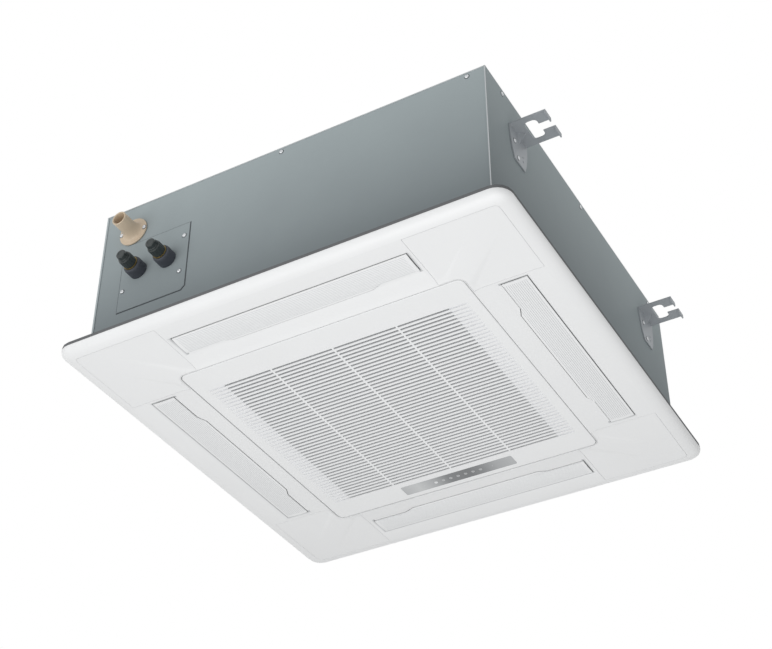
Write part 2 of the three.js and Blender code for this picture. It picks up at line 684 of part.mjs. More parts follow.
/** A long bar with sloping sides and ends, which narrows from z0 up to z1. */
function beadSolid(half, reach, z0, z1) {
  const slope = z1 - z0;
  return hull([-1, 1].flatMap((end) => [-1, 1].flatMap((side) => [
    [end * reach, BEAD_OFFSET + side * half, z0],
    [end * (reach - slope), BEAD_OFFSET + side * (half - slope), z1],
  ])));
}

/** Top plate with a lip round its edge and four stiffening beads pressed upwards. */
function topPlate() {
  const sheet = block(-BODY_HALF, BODY_HALF, -BODY_HALF, BODY_HALF, BODY_TOP - SHEET, BODY_TOP);
  const lipHalf = PIPE_FACE - SHEET - SEAT;
  const lipBase = BODY_TOP - TOP_LIP;
  const inside = lipHalf - SHEET;
  const middle = BODY_TOP - SHEET / 2;
  const lip = block(-lipHalf, lipHalf, -lipHalf, lipHalf, lipBase, middle)
    .subtract(block(-inside, inside, -inside, inside, lipBase - PAST, BODY_TOP));
  const half = BEAD_WIDTH / 2;
  const reach = BEAD_OFFSET - BEAD_SPACE;
  const bead = beadSolid(half, reach, middle, BODY_TOP + BEAD_HEIGHT);
  const hollow = beadSolid(half - SHEET, reach - SHEET,
    BODY_TOP - SHEET - PAST, BODY_TOP + BEAD_HEIGHT - SHEET);
  return sheet.add(lip).add(fourSides(bead)).subtract(fourSides(hollow));
}

/** A panel on an X face, folded inwards at its foot and hemmed round both corners. */
function plainSidePanel() {
  const web = block(BODY_HALF - SHEET, BODY_HALF, -BODY_HALF, BODY_HALF, SEAT, UNDER_TOP);
  const hems = [-1, 1].map((side) => {
    const [y0, y1] = ordered(side * BODY_HALF, side * (BODY_HALF - SHEET));
    return block(BODY_HALF - HEM_WIDTH, BODY_HALF - SHEET / 2, y0, y1, SEAT, UNDER_TOP);
  });
  const footHalf = PIPE_FACE - BASE_FLANGE - SEAT;
  const foot = block(BODY_HALF - BASE_FLANGE, BODY_HALF, -footHalf, footHalf, SEAT, SEAT + SHEET);
  return joined([web, foot, ...hems]);
}

/** The panel on the +Y face, an angle between the two hemmed panels. */
function rearSidePanel() {
  const reach = BODY_HALF - SHEET - SEAT;
  return beamX(outline([
    [PIPE_FACE, SEAT],
    [PIPE_FACE, UNDER_TOP],
    [PIPE_FACE - SHEET, UNDER_TOP],
    [PIPE_FACE - SHEET, SEAT + SHEET],
    [PIPE_FACE - BASE_FLANGE, SEAT + SHEET],
    [PIPE_FACE - BASE_FLANGE, SEAT],
  ]), -reach, reach);
}

/** The panel on the -Y face has the pipe window and the drain hole. */
function pipeSidePanel() {
  const deep = [-PIPE_FACE - PAST, -PIPE_FACE + SHEET + PAST];
  const drain = rodY(DRAIN_TUBE + WALL_CLEAR, DRAIN_X, DRAIN_Z, ...deep, 12);
  return without(rearSidePanel().rotate([0, 0, 180]), [pipeWindow(...deep), drain]);
}

/** The opening behind the pipe cover plate, cut from y0 to y1. */
function pipeWindow(y0, y1) {
  const margin = COVER_PLATE_MARGIN;
  return block(COVER_PLATE_LEFT + margin, COVER_PLATE_LEFT + COVER_PLATE_WIDTH - margin, y0, y1,
    COVER_PLATE_BASE + margin, COVER_PLATE_BASE + COVER_PLATE_HEIGHT - margin);
}

/** Foam box that stands on the drain pan inside the casing, open below. */
function insulationLiner() {
  const outer = PAN_HALF;
  const inner = outer - LINER_WALL;
  const base = PAN_TOP + SEAT;
  const shoulder = BODY_TOP - TOP_LIP - SEAT;
  const neck = outer - SHEET - 2 * SEAT;
  const ceiling = UNDER_TOP - LINER_WALL;
  const lower = block(-outer, outer, -outer, outer, base, shoulder);
  const shell = lower.add(block(-neck, neck, -neck, neck, shoulder - PAST, UNDER_TOP));
  const room = block(-inner, inner, -inner, inner, base - PAST, ceiling);
  const motorHole = rodZ(MOTOR_PLATE_HALF * Math.SQRT2 + LINER_HOLE_SPACE, 0, 0,
    ceiling - PAST, UNDER_TOP + PAST, 20);
  const wall = [-outer - PAST, -inner + PAST];
  const drain = rodY(DRAIN_TUBE + HOSE_WALL, DRAIN_X, DRAIN_Z, ...wall, 10);
  return without(shell, [room, motorHole, pipeWindow(...wall), drain]);
}

/**
 * One hanger bracket for the +X face: an arm with an open slot for the hanger
 * rod, two prongs with down-turned lips, a foot that tapers downwards, and a
 * dart that stiffens the bend.
 */
function hangerBracket(y) {
  const near = BODY_HALF + SEAT;
  const far = BODY_HALF + HANGER_ARM;
  const half = HANGER_WIDTH / 2;
  const under = HANGER_Z - HANGER_SHEET;
  const arm = block(near, far, y - half, y + half, under, HANGER_Z);
  const lip = block(far - HANGER_SHEET, far, y - half, y + half, HANGER_Z - PRONG_LIP, HANGER_Z);

  const toe = HANGER_Z - FOOT_DROP;
  const swell = toe + FOOT_DROP / 3;
  const foot = new THREE.Shape();
  foot.moveTo(y - half, HANGER_Z);
  foot.quadraticCurveTo(y - half, swell, y - FOOT_TOE, toe);
  foot.lineTo(y + FOOT_TOE, toe);
  foot.quadraticCurveTo(y + half, swell, y + half, HANGER_Z);
  const footPlate = beamX(foot, near, near + HANGER_SHEET, 3);

  const bend = near + HANGER_SHEET / 2;
  const gusset = hull([
    [bend, y - GUSSET_HALF, under + BITE],
    [bend, y + GUSSET_HALF, under + BITE],
    [near + GUSSET_OUT, y, under + BITE],
    [bend, y, HANGER_Z - GUSSET_DOWN],
  ]);

  const zCut = [HANGER_Z - PRONG_LIP - PAST, HANGER_Z + PAST];
  const channel = block(BODY_HALF + SLOT_POCKET_OUT - SLOT_LAP, far + PAST,
    y - SLOT_BOLT / 2, y + SLOT_BOLT / 2, ...zCut);
  const pocketHalf = (SLOT_POCKET_OUT - SLOT_POCKET_IN) / 2;
  const pocket = slab(roundedRect(pocketHalf, SLOT_POCKET / 2, SLOT_POCKET_CORNER,
    BODY_HALF + SLOT_POCKET_IN + pocketHalf, y), ...zCut, 2);
  const spareHoles = FOOT_HOLES_DOWN.map((down) => rodX(FOOT_HOLE, y + FOOT_HOLE_ACROSS,
    HANGER_Z - down, near - PAST, near + HANGER_SHEET + PAST, 6));
  return without(joined([arm, lip, footPlate, gusset]), [channel, pocket, ...spareHoles]);
}

add('top_plate', topPlate(), GREY_SHEET);
add('side_panel_right', plainSidePanel(), GREY_SHEET);
add('side_panel_left', plainSidePanel().rotate([0, 0, 180]), GREY_SHEET);
add('side_panel_rear', rearSidePanel(), GREY_SHEET);
add('side_panel_pipe', pipeSidePanel(), GREY_SHEET);
add('insulation_liner', insulationLiner(), PALE_FOAM);

const HANGER_SPOTS = [
  ['hanger_bracket_right_front', HANGER_SHIFT - HANGER_PITCH / 2, 1],
  ['hanger_bracket_right_rear', HANGER_SHIFT + HANGER_PITCH / 2, 1],
  ['hanger_bracket_left_front', HANGER_SHIFT - HANGER_PITCH / 2, -1],
  ['hanger_bracket_left_rear', HANGER_SHIFT + HANGER_PITCH / 2, -1],
];
for (const [name, y, side] of HANGER_SPOTS) {
  const bracket = hangerBracket(side * y);
  add(name, side > 0 ? bracket : bracket.rotate([0, 0, 180]), ZINC);
}

// ---------------------------------------------------------------------------
// Pipe and drain connections
// ---------------------------------------------------------------------------

/** Plate with two chamfered corners that closes the opening round both pipes. */
function pipeCoverPlate() {
  const left = COVER_PLATE_LEFT;
  const right = left + COVER_PLATE_WIDTH;
  const base = COVER_PLATE_BASE;
  const top = base + COVER_PLATE_HEIGHT;
  const plate = beamY(outline([
    [left, base],
    [right - COVER_PLATE_CHAMFER, base],
    [right, base + COVER_PLATE_CHAMFER],
    [right, top],
    [left, top],
  ]), -PIPE_FACE - SEAT - SHEET, -PIPE_FACE - SEAT);
  const holes = [LIQUID_X, GAS_X].map((x) =>
    rodY(SLEEVE_BORE, x, PIPE_Z, -PIPE_FACE - SLEEVE_FOOT, -PIPE_FACE + PAST, 12));
  return without(plate, holes);
}

/** Rubber sleeve that stands on the cover plate round each pipe. */
function pipeSleeve(x) {
  return revolvedOut([
    [SLEEVE_BORE, SLEEVE_FOOT],
    [SLEEVE_RADIUS, SLEEVE_FOOT],
    [SLEEVE_RADIUS, SLEEVE_END - SLEEVE_TAPER],
    [SLEEVE_RADIUS - SLEEVE_TIP, SLEEVE_END],
    [SLEEVE_BORE, SLEEVE_END],
    [SLEEVE_BORE, SLEEVE_FOOT],
  ], 16, x, PIPE_Z);
}

/** Brass flare nut: a hexagon inside the sleeve and a round band in front of it. */
function flareNut(x, pipeRadius) {
  const back = -PIPE_FACE - SLEEVE_FOOT - NUT_SINK;
  const seam = -PIPE_FACE - NUT_START;
  const front = seam - NUT_BAND;
  const length = back - seam + BITE;
  const hexagon = new THREE.CylinderGeometry(NUT_HALF, NUT_HALF, length, 6);
  const body = solidOf(hexagon.translate(x, back - length / 2, PIPE_Z));
  const ring = rodY(NUT_RADIUS, x, PIPE_Z, front, seam, 14);
  const bore = rodY(pipeRadius + PIPE_CLEAR, x, PIPE_Z, front - PAST, back + PAST, 8);
  return body.add(ring).subtract(bore);
}

/** Shipping cap with a stepped end over the end of a pipe. */
function pipeCap(x, pipeRadius) {
  const end = CAP_START + CAP_LENGTH;
  const body = revolvedOut([
    [0, CAP_START],
    [CAP_RADIUS, CAP_START],
    ...CAP_STEPS.map(([inward, short]) => [CAP_RADIUS - inward, end - short]),
    [0, end],
  ], 16, x, PIPE_Z);
  const bore = rodY(pipeRadius + PIPE_CLEAR, x, PIPE_Z, -PIPE_FACE - CAP_START - CAP_BORE,
    -PIPE_FACE - CAP_START + PAST, 8);
  return body.subtract(bore);
}

/** Copper line from inside its cap, through the wall and up beside the coil's end. */
function refrigerantPipe(x, radius, top, drift) {
  const tip = -PIPE_FACE - SLEEVE_LENGTH - CAP_BORE;
  const riser = -BODY_HALF + PIPE_RUN;
  return pipe([
    [x, tip, PIPE_Z],
    [x, (tip + riser) / 2, PIPE_Z],
    [x, riser - PIPE_BEND, PIPE_Z],
    [x, riser - PIPE_BEND / 4, PIPE_Z + PIPE_BEND / 4],
    [x + drift, riser, PIPE_Z + PIPE_BEND],
    [x + drift, riser, top],
  ], radius, 0, 9, 6);
}

/** Drain spigot: a round flange, a flared root, a tube, and a hose tail inside the casing. */
function drainSpigot() {
  const face = SEAT + DRAIN_FLANGE_THICKNESS;
  const end = SEAT + DRAIN_LENGTH;
  const tailBore = TAIL_RADIUS - TAIL_WALL;
  return revolvedOut([
    [tailBore, -DRAIN_TAIL],
    [TAIL_RADIUS, -DRAIN_TAIL],
    [TAIL_RADIUS, -HOSE_END + SEAT],
    [DRAIN_TUBE, -HOSE_END / 2],
    [DRAIN_TUBE, SEAT],
    [DRAIN_FLANGE, SEAT],
    [DRAIN_FLANGE, face],
    [DRAIN_ROOT, face],
    [DRAIN_TUBE + (DRAIN_ROOT - DRAIN_TUBE) / 2, face + DRAIN_FLARE / 3],
    [DRAIN_TUBE, face + DRAIN_FLARE],
    [DRAIN_TUBE, end],
    [DRAIN_BORE, end],
    [tailBore, -HOSE_END],
    [tailBore, -DRAIN_TAIL],
  ], 18, DRAIN_X, DRAIN_Z);
}

add('pipe_cover_plate', pipeCoverPlate(), GREY_SHEET);
add('liquid_pipe_sleeve', pipeSleeve(LIQUID_X), SLATE_RUBBER);
add('gas_pipe_sleeve', pipeSleeve(GAS_X), SLATE_RUBBER);
add('liquid_flare_nut', flareNut(LIQUID_X, LIQUID_PIPE_RADIUS), BRASS);
add('gas_flare_nut', flareNut(GAS_X, GAS_PIPE_RADIUS), BRASS);
add('liquid_pipe_cap', pipeCap(LIQUID_X, LIQUID_PIPE_RADIUS), BLACK_PLASTIC);
add('gas_pipe_cap', pipeCap(GAS_X, GAS_PIPE_RADIUS), BLACK_PLASTIC);
add('drain_spigot', drainSpigot(), CREAM_PLASTIC);

// ---------------------------------------------------------------------------
// Heat exchanger
// ---------------------------------------------------------------------------

/** Finned block bent round the fan, open at the pipe corner. */
function heatExchanger() {
  const ring = squareRing(COIL_OUTER, COIL_CORNER, COIL_INNER, COIL_CORNER - COIL_DEPTH,
    COIL_BASE, COIL_TOP, 3);
  const far = -COIL_OUTER - PAST;
  const corner = block(far, -COIL_OPEN, far, -COIL_OPEN, COIL_BASE - PAST, COIL_TOP + PAST);
  return ring.subtract(corner);
}

/** Sheet plate on the coil's end face with the return bends of its tubes. */
function coilEndPlate() {
  const x = -COIL_OPEN - SEAT;
  const inner = -COIL_INNER + END_PLATE_MARGIN;
  const outer = -COIL_OUTER - END_PLATE_MARGIN;
  const plate = block(x - END_PLATE, x, outer, inner, COIL_BASE + END_PLATE_LIFT, COIL_TOP);
  const pitch = (COIL_TOP - COIL_BASE) / BEND_COUNT;
  const middle = -(COIL_INNER + COIL_OUTER) / 2;
  const behind = x - END_PLATE / 2;
  const reach = BEND_RADIUS + 2 * BEND_TUBE;
  const bends = [];
  for (let i = 0; i < BEND_COUNT; i += 1) {
    const z = COIL_BASE + pitch * (i + 0.5);
    const ring = new THREE.TorusGeometry(BEND_RADIUS, BEND_TUBE, 5, 8);
    const turned = solidOf(ring.rotateX(Math.PI / 2).translate(x - END_PLATE, middle, z));
    const inCoil = block(behind, behind + 2 * reach, middle - reach, middle + reach,
      z - reach, z + reach);
    bends.push(turned.subtract(inCoil));
  }
  return joined([plate, ...bends]);
}

/** Folded plate that closes the pipe corner off between the two coil ends. */
function coilPartition() {
  const near = COIL_OPEN + 2 * SEAT + END_PLATE;
  const far = COIL_INNER - END_PLATE_MARGIN - PARTITION_FLANGE / 2;
  const flange = far + PARTITION_FLANGE;
  const fold = END_PLATE * (Math.SQRT2 - 1);
  return slab(outline([
    [-near, -flange],
    [-near, -far],
    [-far, -near],
    [-flange, -near],
    [-flange, -near - END_PLATE],
    [-far - fold, -near - END_PLATE],
    [-near - END_PLATE, -far - fold],
    [-near - END_PLATE, -flange],
  ]), PAN_TOP + SEAT, COIL_TOP);
}

add('heat_exchanger', heatExchanger(), ALUMINIUM);
add('coil_end_plate_front', coilEndPlate(), ZINC);
add('coil_end_plate_left', coilEndPlate().mirror([1, -1, 0]), ZINC);
add('coil_partition', coilPartition(), ZINC);
add('gas_pipe', refrigerantPipe(GAS_X, GAS_PIPE_RADIUS, COIL_TOP - GAS_TOP_DROP, GAS_DRIFT), COPPER);
add('liquid_pipe', refrigerantPipe(LIQUID_X, LIQUID_PIPE_RADIUS,
  COIL_TOP - LIQUID_TOP_DROP, LIQUID_DRIFT), COPPER);

// ---------------------------------------------------------------------------
// Fan, motor and bell mouth
// ---------------------------------------------------------------------------

/** Backward-curved blade outline between the eye and the rim, as a thin arc. */
function bladeOutline() {
  const steps = 4;
  const outer = FAN_RADIUS - BLADE_SHORT;
  const front = [];
  const back = [];
  for (let i = 0; i <= steps; i += 1) {
    const along = i / steps;
    const radius = BLADE_INNER + (outer - BLADE_INNER) * along;
    const turn = -BLADE_TURN * along * (2 - BLADE_CURVE * along);
    const halfAngle = (BLADE_TIP + BLADE_SWELL * Math.sin(Math.PI * along)) / radius;
    front.push([radius * Math.cos(turn + halfAngle), radius * Math.sin(turn + halfAngle)]);
    back.push([radius * Math.cos(turn - halfAngle), radius * Math.sin(turn - halfAngle)]);
  }
  return outline([...front, ...back.reverse()]);
}

/** Turbo wheel: a hub in a deep cup, a back plate, a flared shroud and its blades. */
function fanImpeller() {
  const rimSteps = 4 * FAN_BLADES;
  const half = FAN_SHEET / 2;
  const under = FAN_TOP - FAN_SHEET;
  const wallTop = under - CUP_ROUND_DROP;
  const floor = HUB_BASE + CUP_FOOT;
  const hubTop = HUB_BASE + HUB_HEIGHT;
  const rim = FAN_BASE + SHROUD_RISE;
  const neckZ = rim - SHROUD_NECK_DROP;
  const bellZ = rim - SHROUD_BELL_DROP;
  const backPlate = revolved([
    [HUB_BORE, HUB_BASE],
    [HUB_RADIUS, HUB_BASE],
    [CUP_RADIUS, floor],
    [CUP_TOP_RADIUS, wallTop],
    [CUP_TOP_RADIUS + CUP_ROUND, under],
    [FAN_RADIUS, under],
    [FAN_RADIUS, FAN_TOP],
    [CUP_TOP_RADIUS + CUP_ROUND - FAN_SHEET, FAN_TOP],
    [CUP_TOP_RADIUS - FAN_SHEET, wallTop + FAN_SHEET],
    [CUP_RADIUS - FAN_SHEET, floor + FAN_SHEET],
    [HUB_RADIUS - FAN_SHEET, hubTop],
    [HUB_BORE, hubTop],
    [HUB_BORE, HUB_BASE],
  ], rimSteps);
  const shroud = revolved([
    [EYE_RADIUS, FAN_BASE],
    [EYE_RADIUS + FAN_SHEET, FAN_BASE],
    [EYE_RADIUS + SHROUD_NECK, neckZ],
    [EYE_RADIUS + SHROUD_BELL, bellZ],
    [FAN_RADIUS, rim],
    [FAN_RADIUS, rim + FAN_SHEET],
    [EYE_RADIUS + SHROUD_BELL - FAN_SHEET, bellZ + FAN_SHEET],
    [EYE_RADIUS + SHROUD_NECK - FAN_SHEET, neckZ + half],
    [EYE_RADIUS, FAN_BASE],
  ], rimSteps);
  const passage = revolved([
    [BLADE_INNER, under - BLADE_ROOT_DROP],
    [EYE_RADIUS + SHROUD_NECK - half, neckZ + half / 2],
    [EYE_RADIUS + SHROUD_BELL - half, bellZ + half],
    [FAN_RADIUS - BITE, rim + half],
    [FAN_RADIUS - BITE, under + half],
    [CUP_TOP_RADIUS + CUP_ROUND - half, under + half],
    [CUP_TOP_RADIUS - half, wallTop + half],
    [BLADE_INNER, under - BLADE_ROOT_DROP],
  ], rimSteps);
  const blade = slab(bladeOutline(), FAN_BASE, FAN_TOP).intersect(passage);
  const blades = [];
  for (let i = 0; i < FAN_BLADES; i += 1) blades.push(blade.rotate([0, 0, (360 * i) / FAN_BLADES]));
  return joined([backPlate, shroud, ...blades]);
}

function motorShaft() {
  const base = HUB_BASE - SEAT - FAN_NUT_HEIGHT - SHAFT_STUB;
  return rodZ(SHAFT_RADIUS, 0, 0, base, MOTOR_SHOULDER, 12);
}

function fanNut() {
  const top = HUB_BASE - SEAT;
  const base = top - FAN_NUT_HEIGHT;
  const hexagon = rodZ(FAN_NUT_HALF, 0, 0, base, top, 6);
  return hexagon.subtract(rodZ(HUB_BORE, 0, 0, base - PAST, top + PAST, 12));
}

/** Outer-rotor style fan motor with a stepped can and a blind shaft bore. */
function fanMotor() {
  const bore = HUB_BORE;
  const nose = MOTOR_BASE - MOTOR_NOSE;
  const flange = MOTOR_SHOULDER - MOTOR_FLANGE_SHEET;
  const capEdge = MOTOR_RADIUS - MOTOR_CAP_INSET;
  return revolved([
    [bore, nose],
    [MOTOR_NOSE_RADIUS, nose],
    [MOTOR_NOSE_RADIUS, MOTOR_BASE],
    [MOTOR_RADIUS, MOTOR_BASE + MOTOR_SLOPE],
    [MOTOR_RADIUS, flange],
    [MOTOR_RADIUS + MOTOR_FLANGE, flange],
    [MOTOR_RADIUS + MOTOR_FLANGE, MOTOR_SHOULDER],
    [capEdge, MOTOR_SHOULDER],
    [capEdge - MOTOR_CAP_SLOPE, MOTOR_TOP],
    [0, MOTOR_TOP],
    [0, MOTOR_SHOULDER + SHAFT_PLAY],
    [bore, MOTOR_SHOULDER + SHAFT_PLAY],
    [bore, nose],
  ], 20);
}

/** Square hanger plate with four folded legs up to the top plate. */
function motorBracket() {
  const half = MOTOR_PLATE_HALF;
  const sheet = MOTOR_PLATE_SHEET;
  const z0 = MOTOR_TOP + SEAT;
  const y1 = half - MOTOR_PLATE_CORNER;
  const y0 = y1 - MOTOR_PLATE_LEG;
  const plate = slab(roundedRect(half, half, MOTOR_PLATE_CORNER), z0, z0 + sheet, 1);
  const leg = block(half - sheet, half, y0, y1, z0, UNDER_TOP);
  const foot = block(half - sheet, half + MOTOR_PLATE_FOOT, y0, y1, UNDER_TOP - sheet, UNDER_TOP);
  const window = rodZ(MOTOR_PLATE_WINDOW, 0, 0, z0 - PAST, z0 + sheet + PAST, 12);
  return plate.add(fourSides(leg.add(foot))).subtract(window);
}

/** Square plate with a throat that flares smoothly into the fan's eye. */
function bellMouth() {
  const top = PAN_LEDGE - SEAT;
  const base = top - MOUTH_SHEET;
  const rise = THROAT_TOP - base;
  const steps = 4;
  const inner = [];
  const outer = [];
  for (let i = 0; i <= steps; i += 1) {
    const turn = (Math.PI / 2) * (i / steps);
    const radius = MOUTH_RADIUS - (MOUTH_RADIUS - THROAT_RADIUS) * Math.sin(turn);
    const z = base + rise * (1 - Math.cos(turn));
    inner.push([radius, z]);
    outer.unshift([radius + MOUTH_SHEET, Math.min(THROAT_TOP, z + MOUTH_SHEET * MOUTH_TUCK)]);
  }
  const flare = revolved([...inner, ...outer, inner[0]], 24);
  const plateHalf = PAN_HOLE - SEAT;
  const plate = slab(roundedRect(plateHalf, plateHalf, PAN_HOLE_CORNER - SEAT), base, top);
  return plate.subtract(rodZ(MOUTH_RADIUS, 0, 0, base - PAST, top + PAST, 24)).add(flare);
}

add('fan_impeller', fanImpeller(), GREY_PLASTIC);
add('motor_shaft', motorShaft(), STEEL);
add('fan_nut', fanNut(), STEEL);
add('fan_motor', fanMotor(), ZINC);
add('motor_bracket', motorBracket(), ZINC);
add('bell_mouth', bellMouth(), GREY_PLASTIC);

// ---------------------------------------------------------------------------
// Control box
// ---------------------------------------------------------------------------

/** Sheet metal box for the electronics, open below. */
function controlBox() {
  const wall = CONTROL_SHEET;
  const top = PAN_LEDGE - 2 * SEAT - MOUTH_SHEET;
  const shell = controlBlock(0, CONTROL_BASE, top);
  return shell.subtract(controlBlock(wall, CONTROL_BASE - PAST, top - wall));
}

/** A block over the control box's plan, drawn in by `inset` all round. */
function controlBlock(inset, z0, z1) {
  return block(-CONTROL_OUTER + inset, -CONTROL_INNER - inset,
    -CONTROL_HALF + inset, CONTROL_HALF - inset, z0, z1);
}

/** Lid that closes the control box from below, with a turned-up edge inside it. */
function controlBoxCover() {
  const seam = CONTROL_BASE - SEAT;
  const inset = CONTROL_SHEET + SEAT;
  const lid = controlBlock(0, seam - CONTROL_SHEET, seam);
  const edge = controlBlock(inset, seam - CONTROL_SHEET / 2, seam + CONTROL_EDGE);
  const hollow = controlBlock(inset + CONTROL_SHEET, seam, seam + CONTROL_EDGE + PAST);
  return lid.add(edge.subtract(hollow));
}

add('control_box', controlBox(), ZINC);
add('control_box_cover', controlBoxCover(), ZINC);

// ---------------------------------------------------------------------------
// Drain pan, pump and float switch
// ---------------------------------------------------------------------------

/** Room for the hinge lugs and the louver motors, which relieves the pan where they reach it. */
function panReliefs() {
  const lugTop = HINGE_Z + HINGE_SWING + HINGE_ARM + PAN_RELIEF;
  const lugHalf = HINGE_LUG / 2 + PAN_RELIEF;
  const lugs = [-HINGE_AT, HINGE_AT].map((x) => block(x - lugHalf, x + lugHalf,
    HINGE_Y - HINGE_EYE - PAN_RELIEF, OPENING_HALF + OPENING_WALL + PAN_RELIEF,
    HINGE_Z, lugTop));
  const wide = STEPPER_RADIUS + PAN_RELIEF;
  const motorStart = OUTLET_HALF + OUTLET_WALL;
  const motor = block(PIVOT_OUT - wide, PIVOT_OUT + wide, motorStart,
    motorStart + SEAT + STEPPER_LENGTH + PAN_RELIEF, PIVOT_Z, PIVOT_Z + wide);
  return [...lugs, fourSides(motor)];
}

/** Foam pan with the coil trough, four air ways, a sump and a stepped middle hole. */
function drainPan() {
  const under = PAN_BASE - PAST;
  const over = PAN_TOP + PAST;
  const body = block(-PAN_HALF, PAN_HALF, -PAN_HALF, PAN_HALF, PAN_BASE, PAN_TOP);
  const trough = squareRing(TROUGH_OUTER, COIL_CORNER, TROUGH_INNER, TROUGH_INNER_CORNER,
    TROUGH_FLOOR, over, 2);
  const airWay = block(OUTLET_INNER, OUTLET_OUTER, -OUTLET_HALF, OUTLET_HALF, under, over);
  const hole = slab(roundedRect(PAN_HOLE, PAN_HOLE, PAN_HOLE_CORNER), under, PAN_LEDGE);
  const neck = slab(roundedRect(PAN_NECK, PAN_NECK, PAN_NECK_CORNER), PAN_LEDGE - PAST, over, 2);
  const middle = (DRAIN_X + FLOAT_X) / 2;
  const sump = slab(roundedRect(SUMP_HALF_X, SUMP_HALF_Y, SUMP_CORNER, middle, PUMP_Y),
    SUMP_FLOOR, over, 2);
  const gutter = block(middle - GUTTER_HALF, middle + GUTTER_HALF,
    PUMP_Y, -TROUGH_OUTER + GUTTER_LAP, TROUGH_FLOOR - GUTTER_FALL, over);
  return without(body, [trough, fourSides(airWay), hole, neck, sump, gutter, ...panReliefs()]);
}

/** Pump can with an open bottom, a shelf with a wall flange, and a hose outlet on top. */
function drainPump() {
  const [x, y] = [DRAIN_X, PUMP_Y];
  const skirtTop = PUMP_BASE + PUMP_CAVITY;
  const ceiling = skirtTop - PUMP_ROOF;
  const skirtBore = PUMP_IMPELLER + IMPELLER_SPACE;
  const can = rodZ(PUMP_RADIUS, x, y, ceiling, PUMP_TOP, 16);
  const skirt = rodZ(skirtBore + PUMP_WALL, x, y, PUMP_BASE, skirtTop, 12);
  const cavity = rodZ(skirtBore, x, y, PUMP_BASE - PAST, ceiling, 12);
  const bore = rodZ(PUMP_SHAFT + RUNNING_GAP, x, y, PUMP_BASE, skirtTop + PUMP_SHAFT_REACH, 8);
  const nozzle = rodZ(TAIL_RADIUS, x, y, PUMP_TOP - PAST, PUMP_TOP + NOZZLE_LENGTH, 8);
  const wallY = -PAN_HALF + LINER_WALL + SEAT;
  const end = FLOAT_X + FLOAT_RADIUS;
  const flange = block(x - PUMP_RADIUS, end, wallY, wallY + SHELF,
    PUMP_SHELF, PUMP_SHELF + SHELF_FLANGE);
  const shelf = block(x, end, wallY, y + FLOAT_RADIUS, PUMP_SHELF, PUMP_SHELF + SHELF);
  const stemHole = rodZ(STEM_RADIUS + RUNNING_GAP, FLOAT_X, y,
    PUMP_SHELF - PAST, PUMP_SHELF + SHELF + PAST, 8);
  return without(joined([can, skirt, nozzle, flange, shelf]), [cavity, bore, stemHole]);
}

/** Four-vane pump wheel on its own short shaft. */
function pumpImpeller() {
  const [x, y] = [DRAIN_X, PUMP_Y];
  const base = PUMP_BASE + IMPELLER_SPACE;
  const vaneTop = base + VANE_HEIGHT;
  const top = PUMP_BASE + PUMP_CAVITY + PUMP_SHAFT_REACH - SHAFT_PLAY;
  const half = VANE / 2;
  const shaft = rodZ(PUMP_SHAFT, x, y, base, top, 8);
  const along = block(x - PUMP_IMPELLER, x + PUMP_IMPELLER, y - half, y + half, base, vaneTop);
  const across = block(x - half, x + half, y - PUMP_IMPELLER, y + PUMP_IMPELLER, base, vaneTop);
  return joined([shaft, along, across]);
}

/** Soft hose from the pump's nozzle up and over onto the spigot's tail. */
function pumpHose() {
  const start = PUMP_TOP + SEAT;
  const bend = DRAIN_Z - HOSE_BEND;
  return pipe([
    [DRAIN_X, PUMP_Y, start],
    [DRAIN_X, PUMP_Y, start + NOZZLE_LENGTH + HOSE_STRAIGHT],
    [DRAIN_X, PUMP_Y + HOSE_BOW[0], (start + DRAIN_Z) / 2],
    [DRAIN_X, PUMP_Y + HOSE_BOW[1], bend],
    [DRAIN_X, PUMP_Y + HOSE_BOW[2], DRAIN_Z - HOSE_STRAIGHT],
    [DRAIN_X, -PIPE_FACE + DRAIN_TAIL + HOSE_LEAD, DRAIN_Z],
    [DRAIN_X, -PIPE_FACE + HOSE_END, DRAIN_Z],
  ], HOSE_BORE + HOSE_WALL, HOSE_BORE, 11, 8);
}

/** Guide stem of the float switch, headed above the shelf and clipped below the float. */
function floatStem() {
  const head = PUMP_SHELF + SHELF + SEAT;
  const top = head + STEM_HEAD;
  const clip = FLOAT_BASE - SEAT;
  const base = clip - STEM_CLIP_THICKNESS;
  const rod = rodZ(STEM_RADIUS, FLOAT_X, PUMP_Y, base, top, 8);
  const upper = rodZ(STEM_CLIP, FLOAT_X, PUMP_Y, head, top, 8);
  const lower = rodZ(STEM_CLIP, FLOAT_X, PUMP_Y, base, clip, 8);
  return joined([rod, upper, lower]);
}

/** Float ring that slides on the stem. */
function floatBody() {
  const bore = STEM_RADIUS + RUNNING_GAP;
  const top = FLOAT_BASE + FLOAT_HEIGHT;
  return revolved([
    [bore, FLOAT_BASE],
    [FLOAT_RADIUS, FLOAT_BASE],
    [FLOAT_RADIUS, top],
    [bore, top],
    [bore, FLOAT_BASE],
  ], 12).translate([FLOAT_X, PUMP_Y, 0]);
}

add('drain_pan', drainPan(), PALE_FOAM);
add('drain_pump', drainPump(), BLACK_PLASTIC);
add('pump_impeller', pumpImpeller(), CREAM_PLASTIC);
add('pump_hose', pumpHose(), SLATE_RUBBER);
add('float_stem', floatStem(), CREAM_PLASTIC);
add('float', floatBody(), CREAM_PLASTIC);

// ---------------------------------------------------------------------------
// Decoration panel
// ---------------------------------------------------------------------------

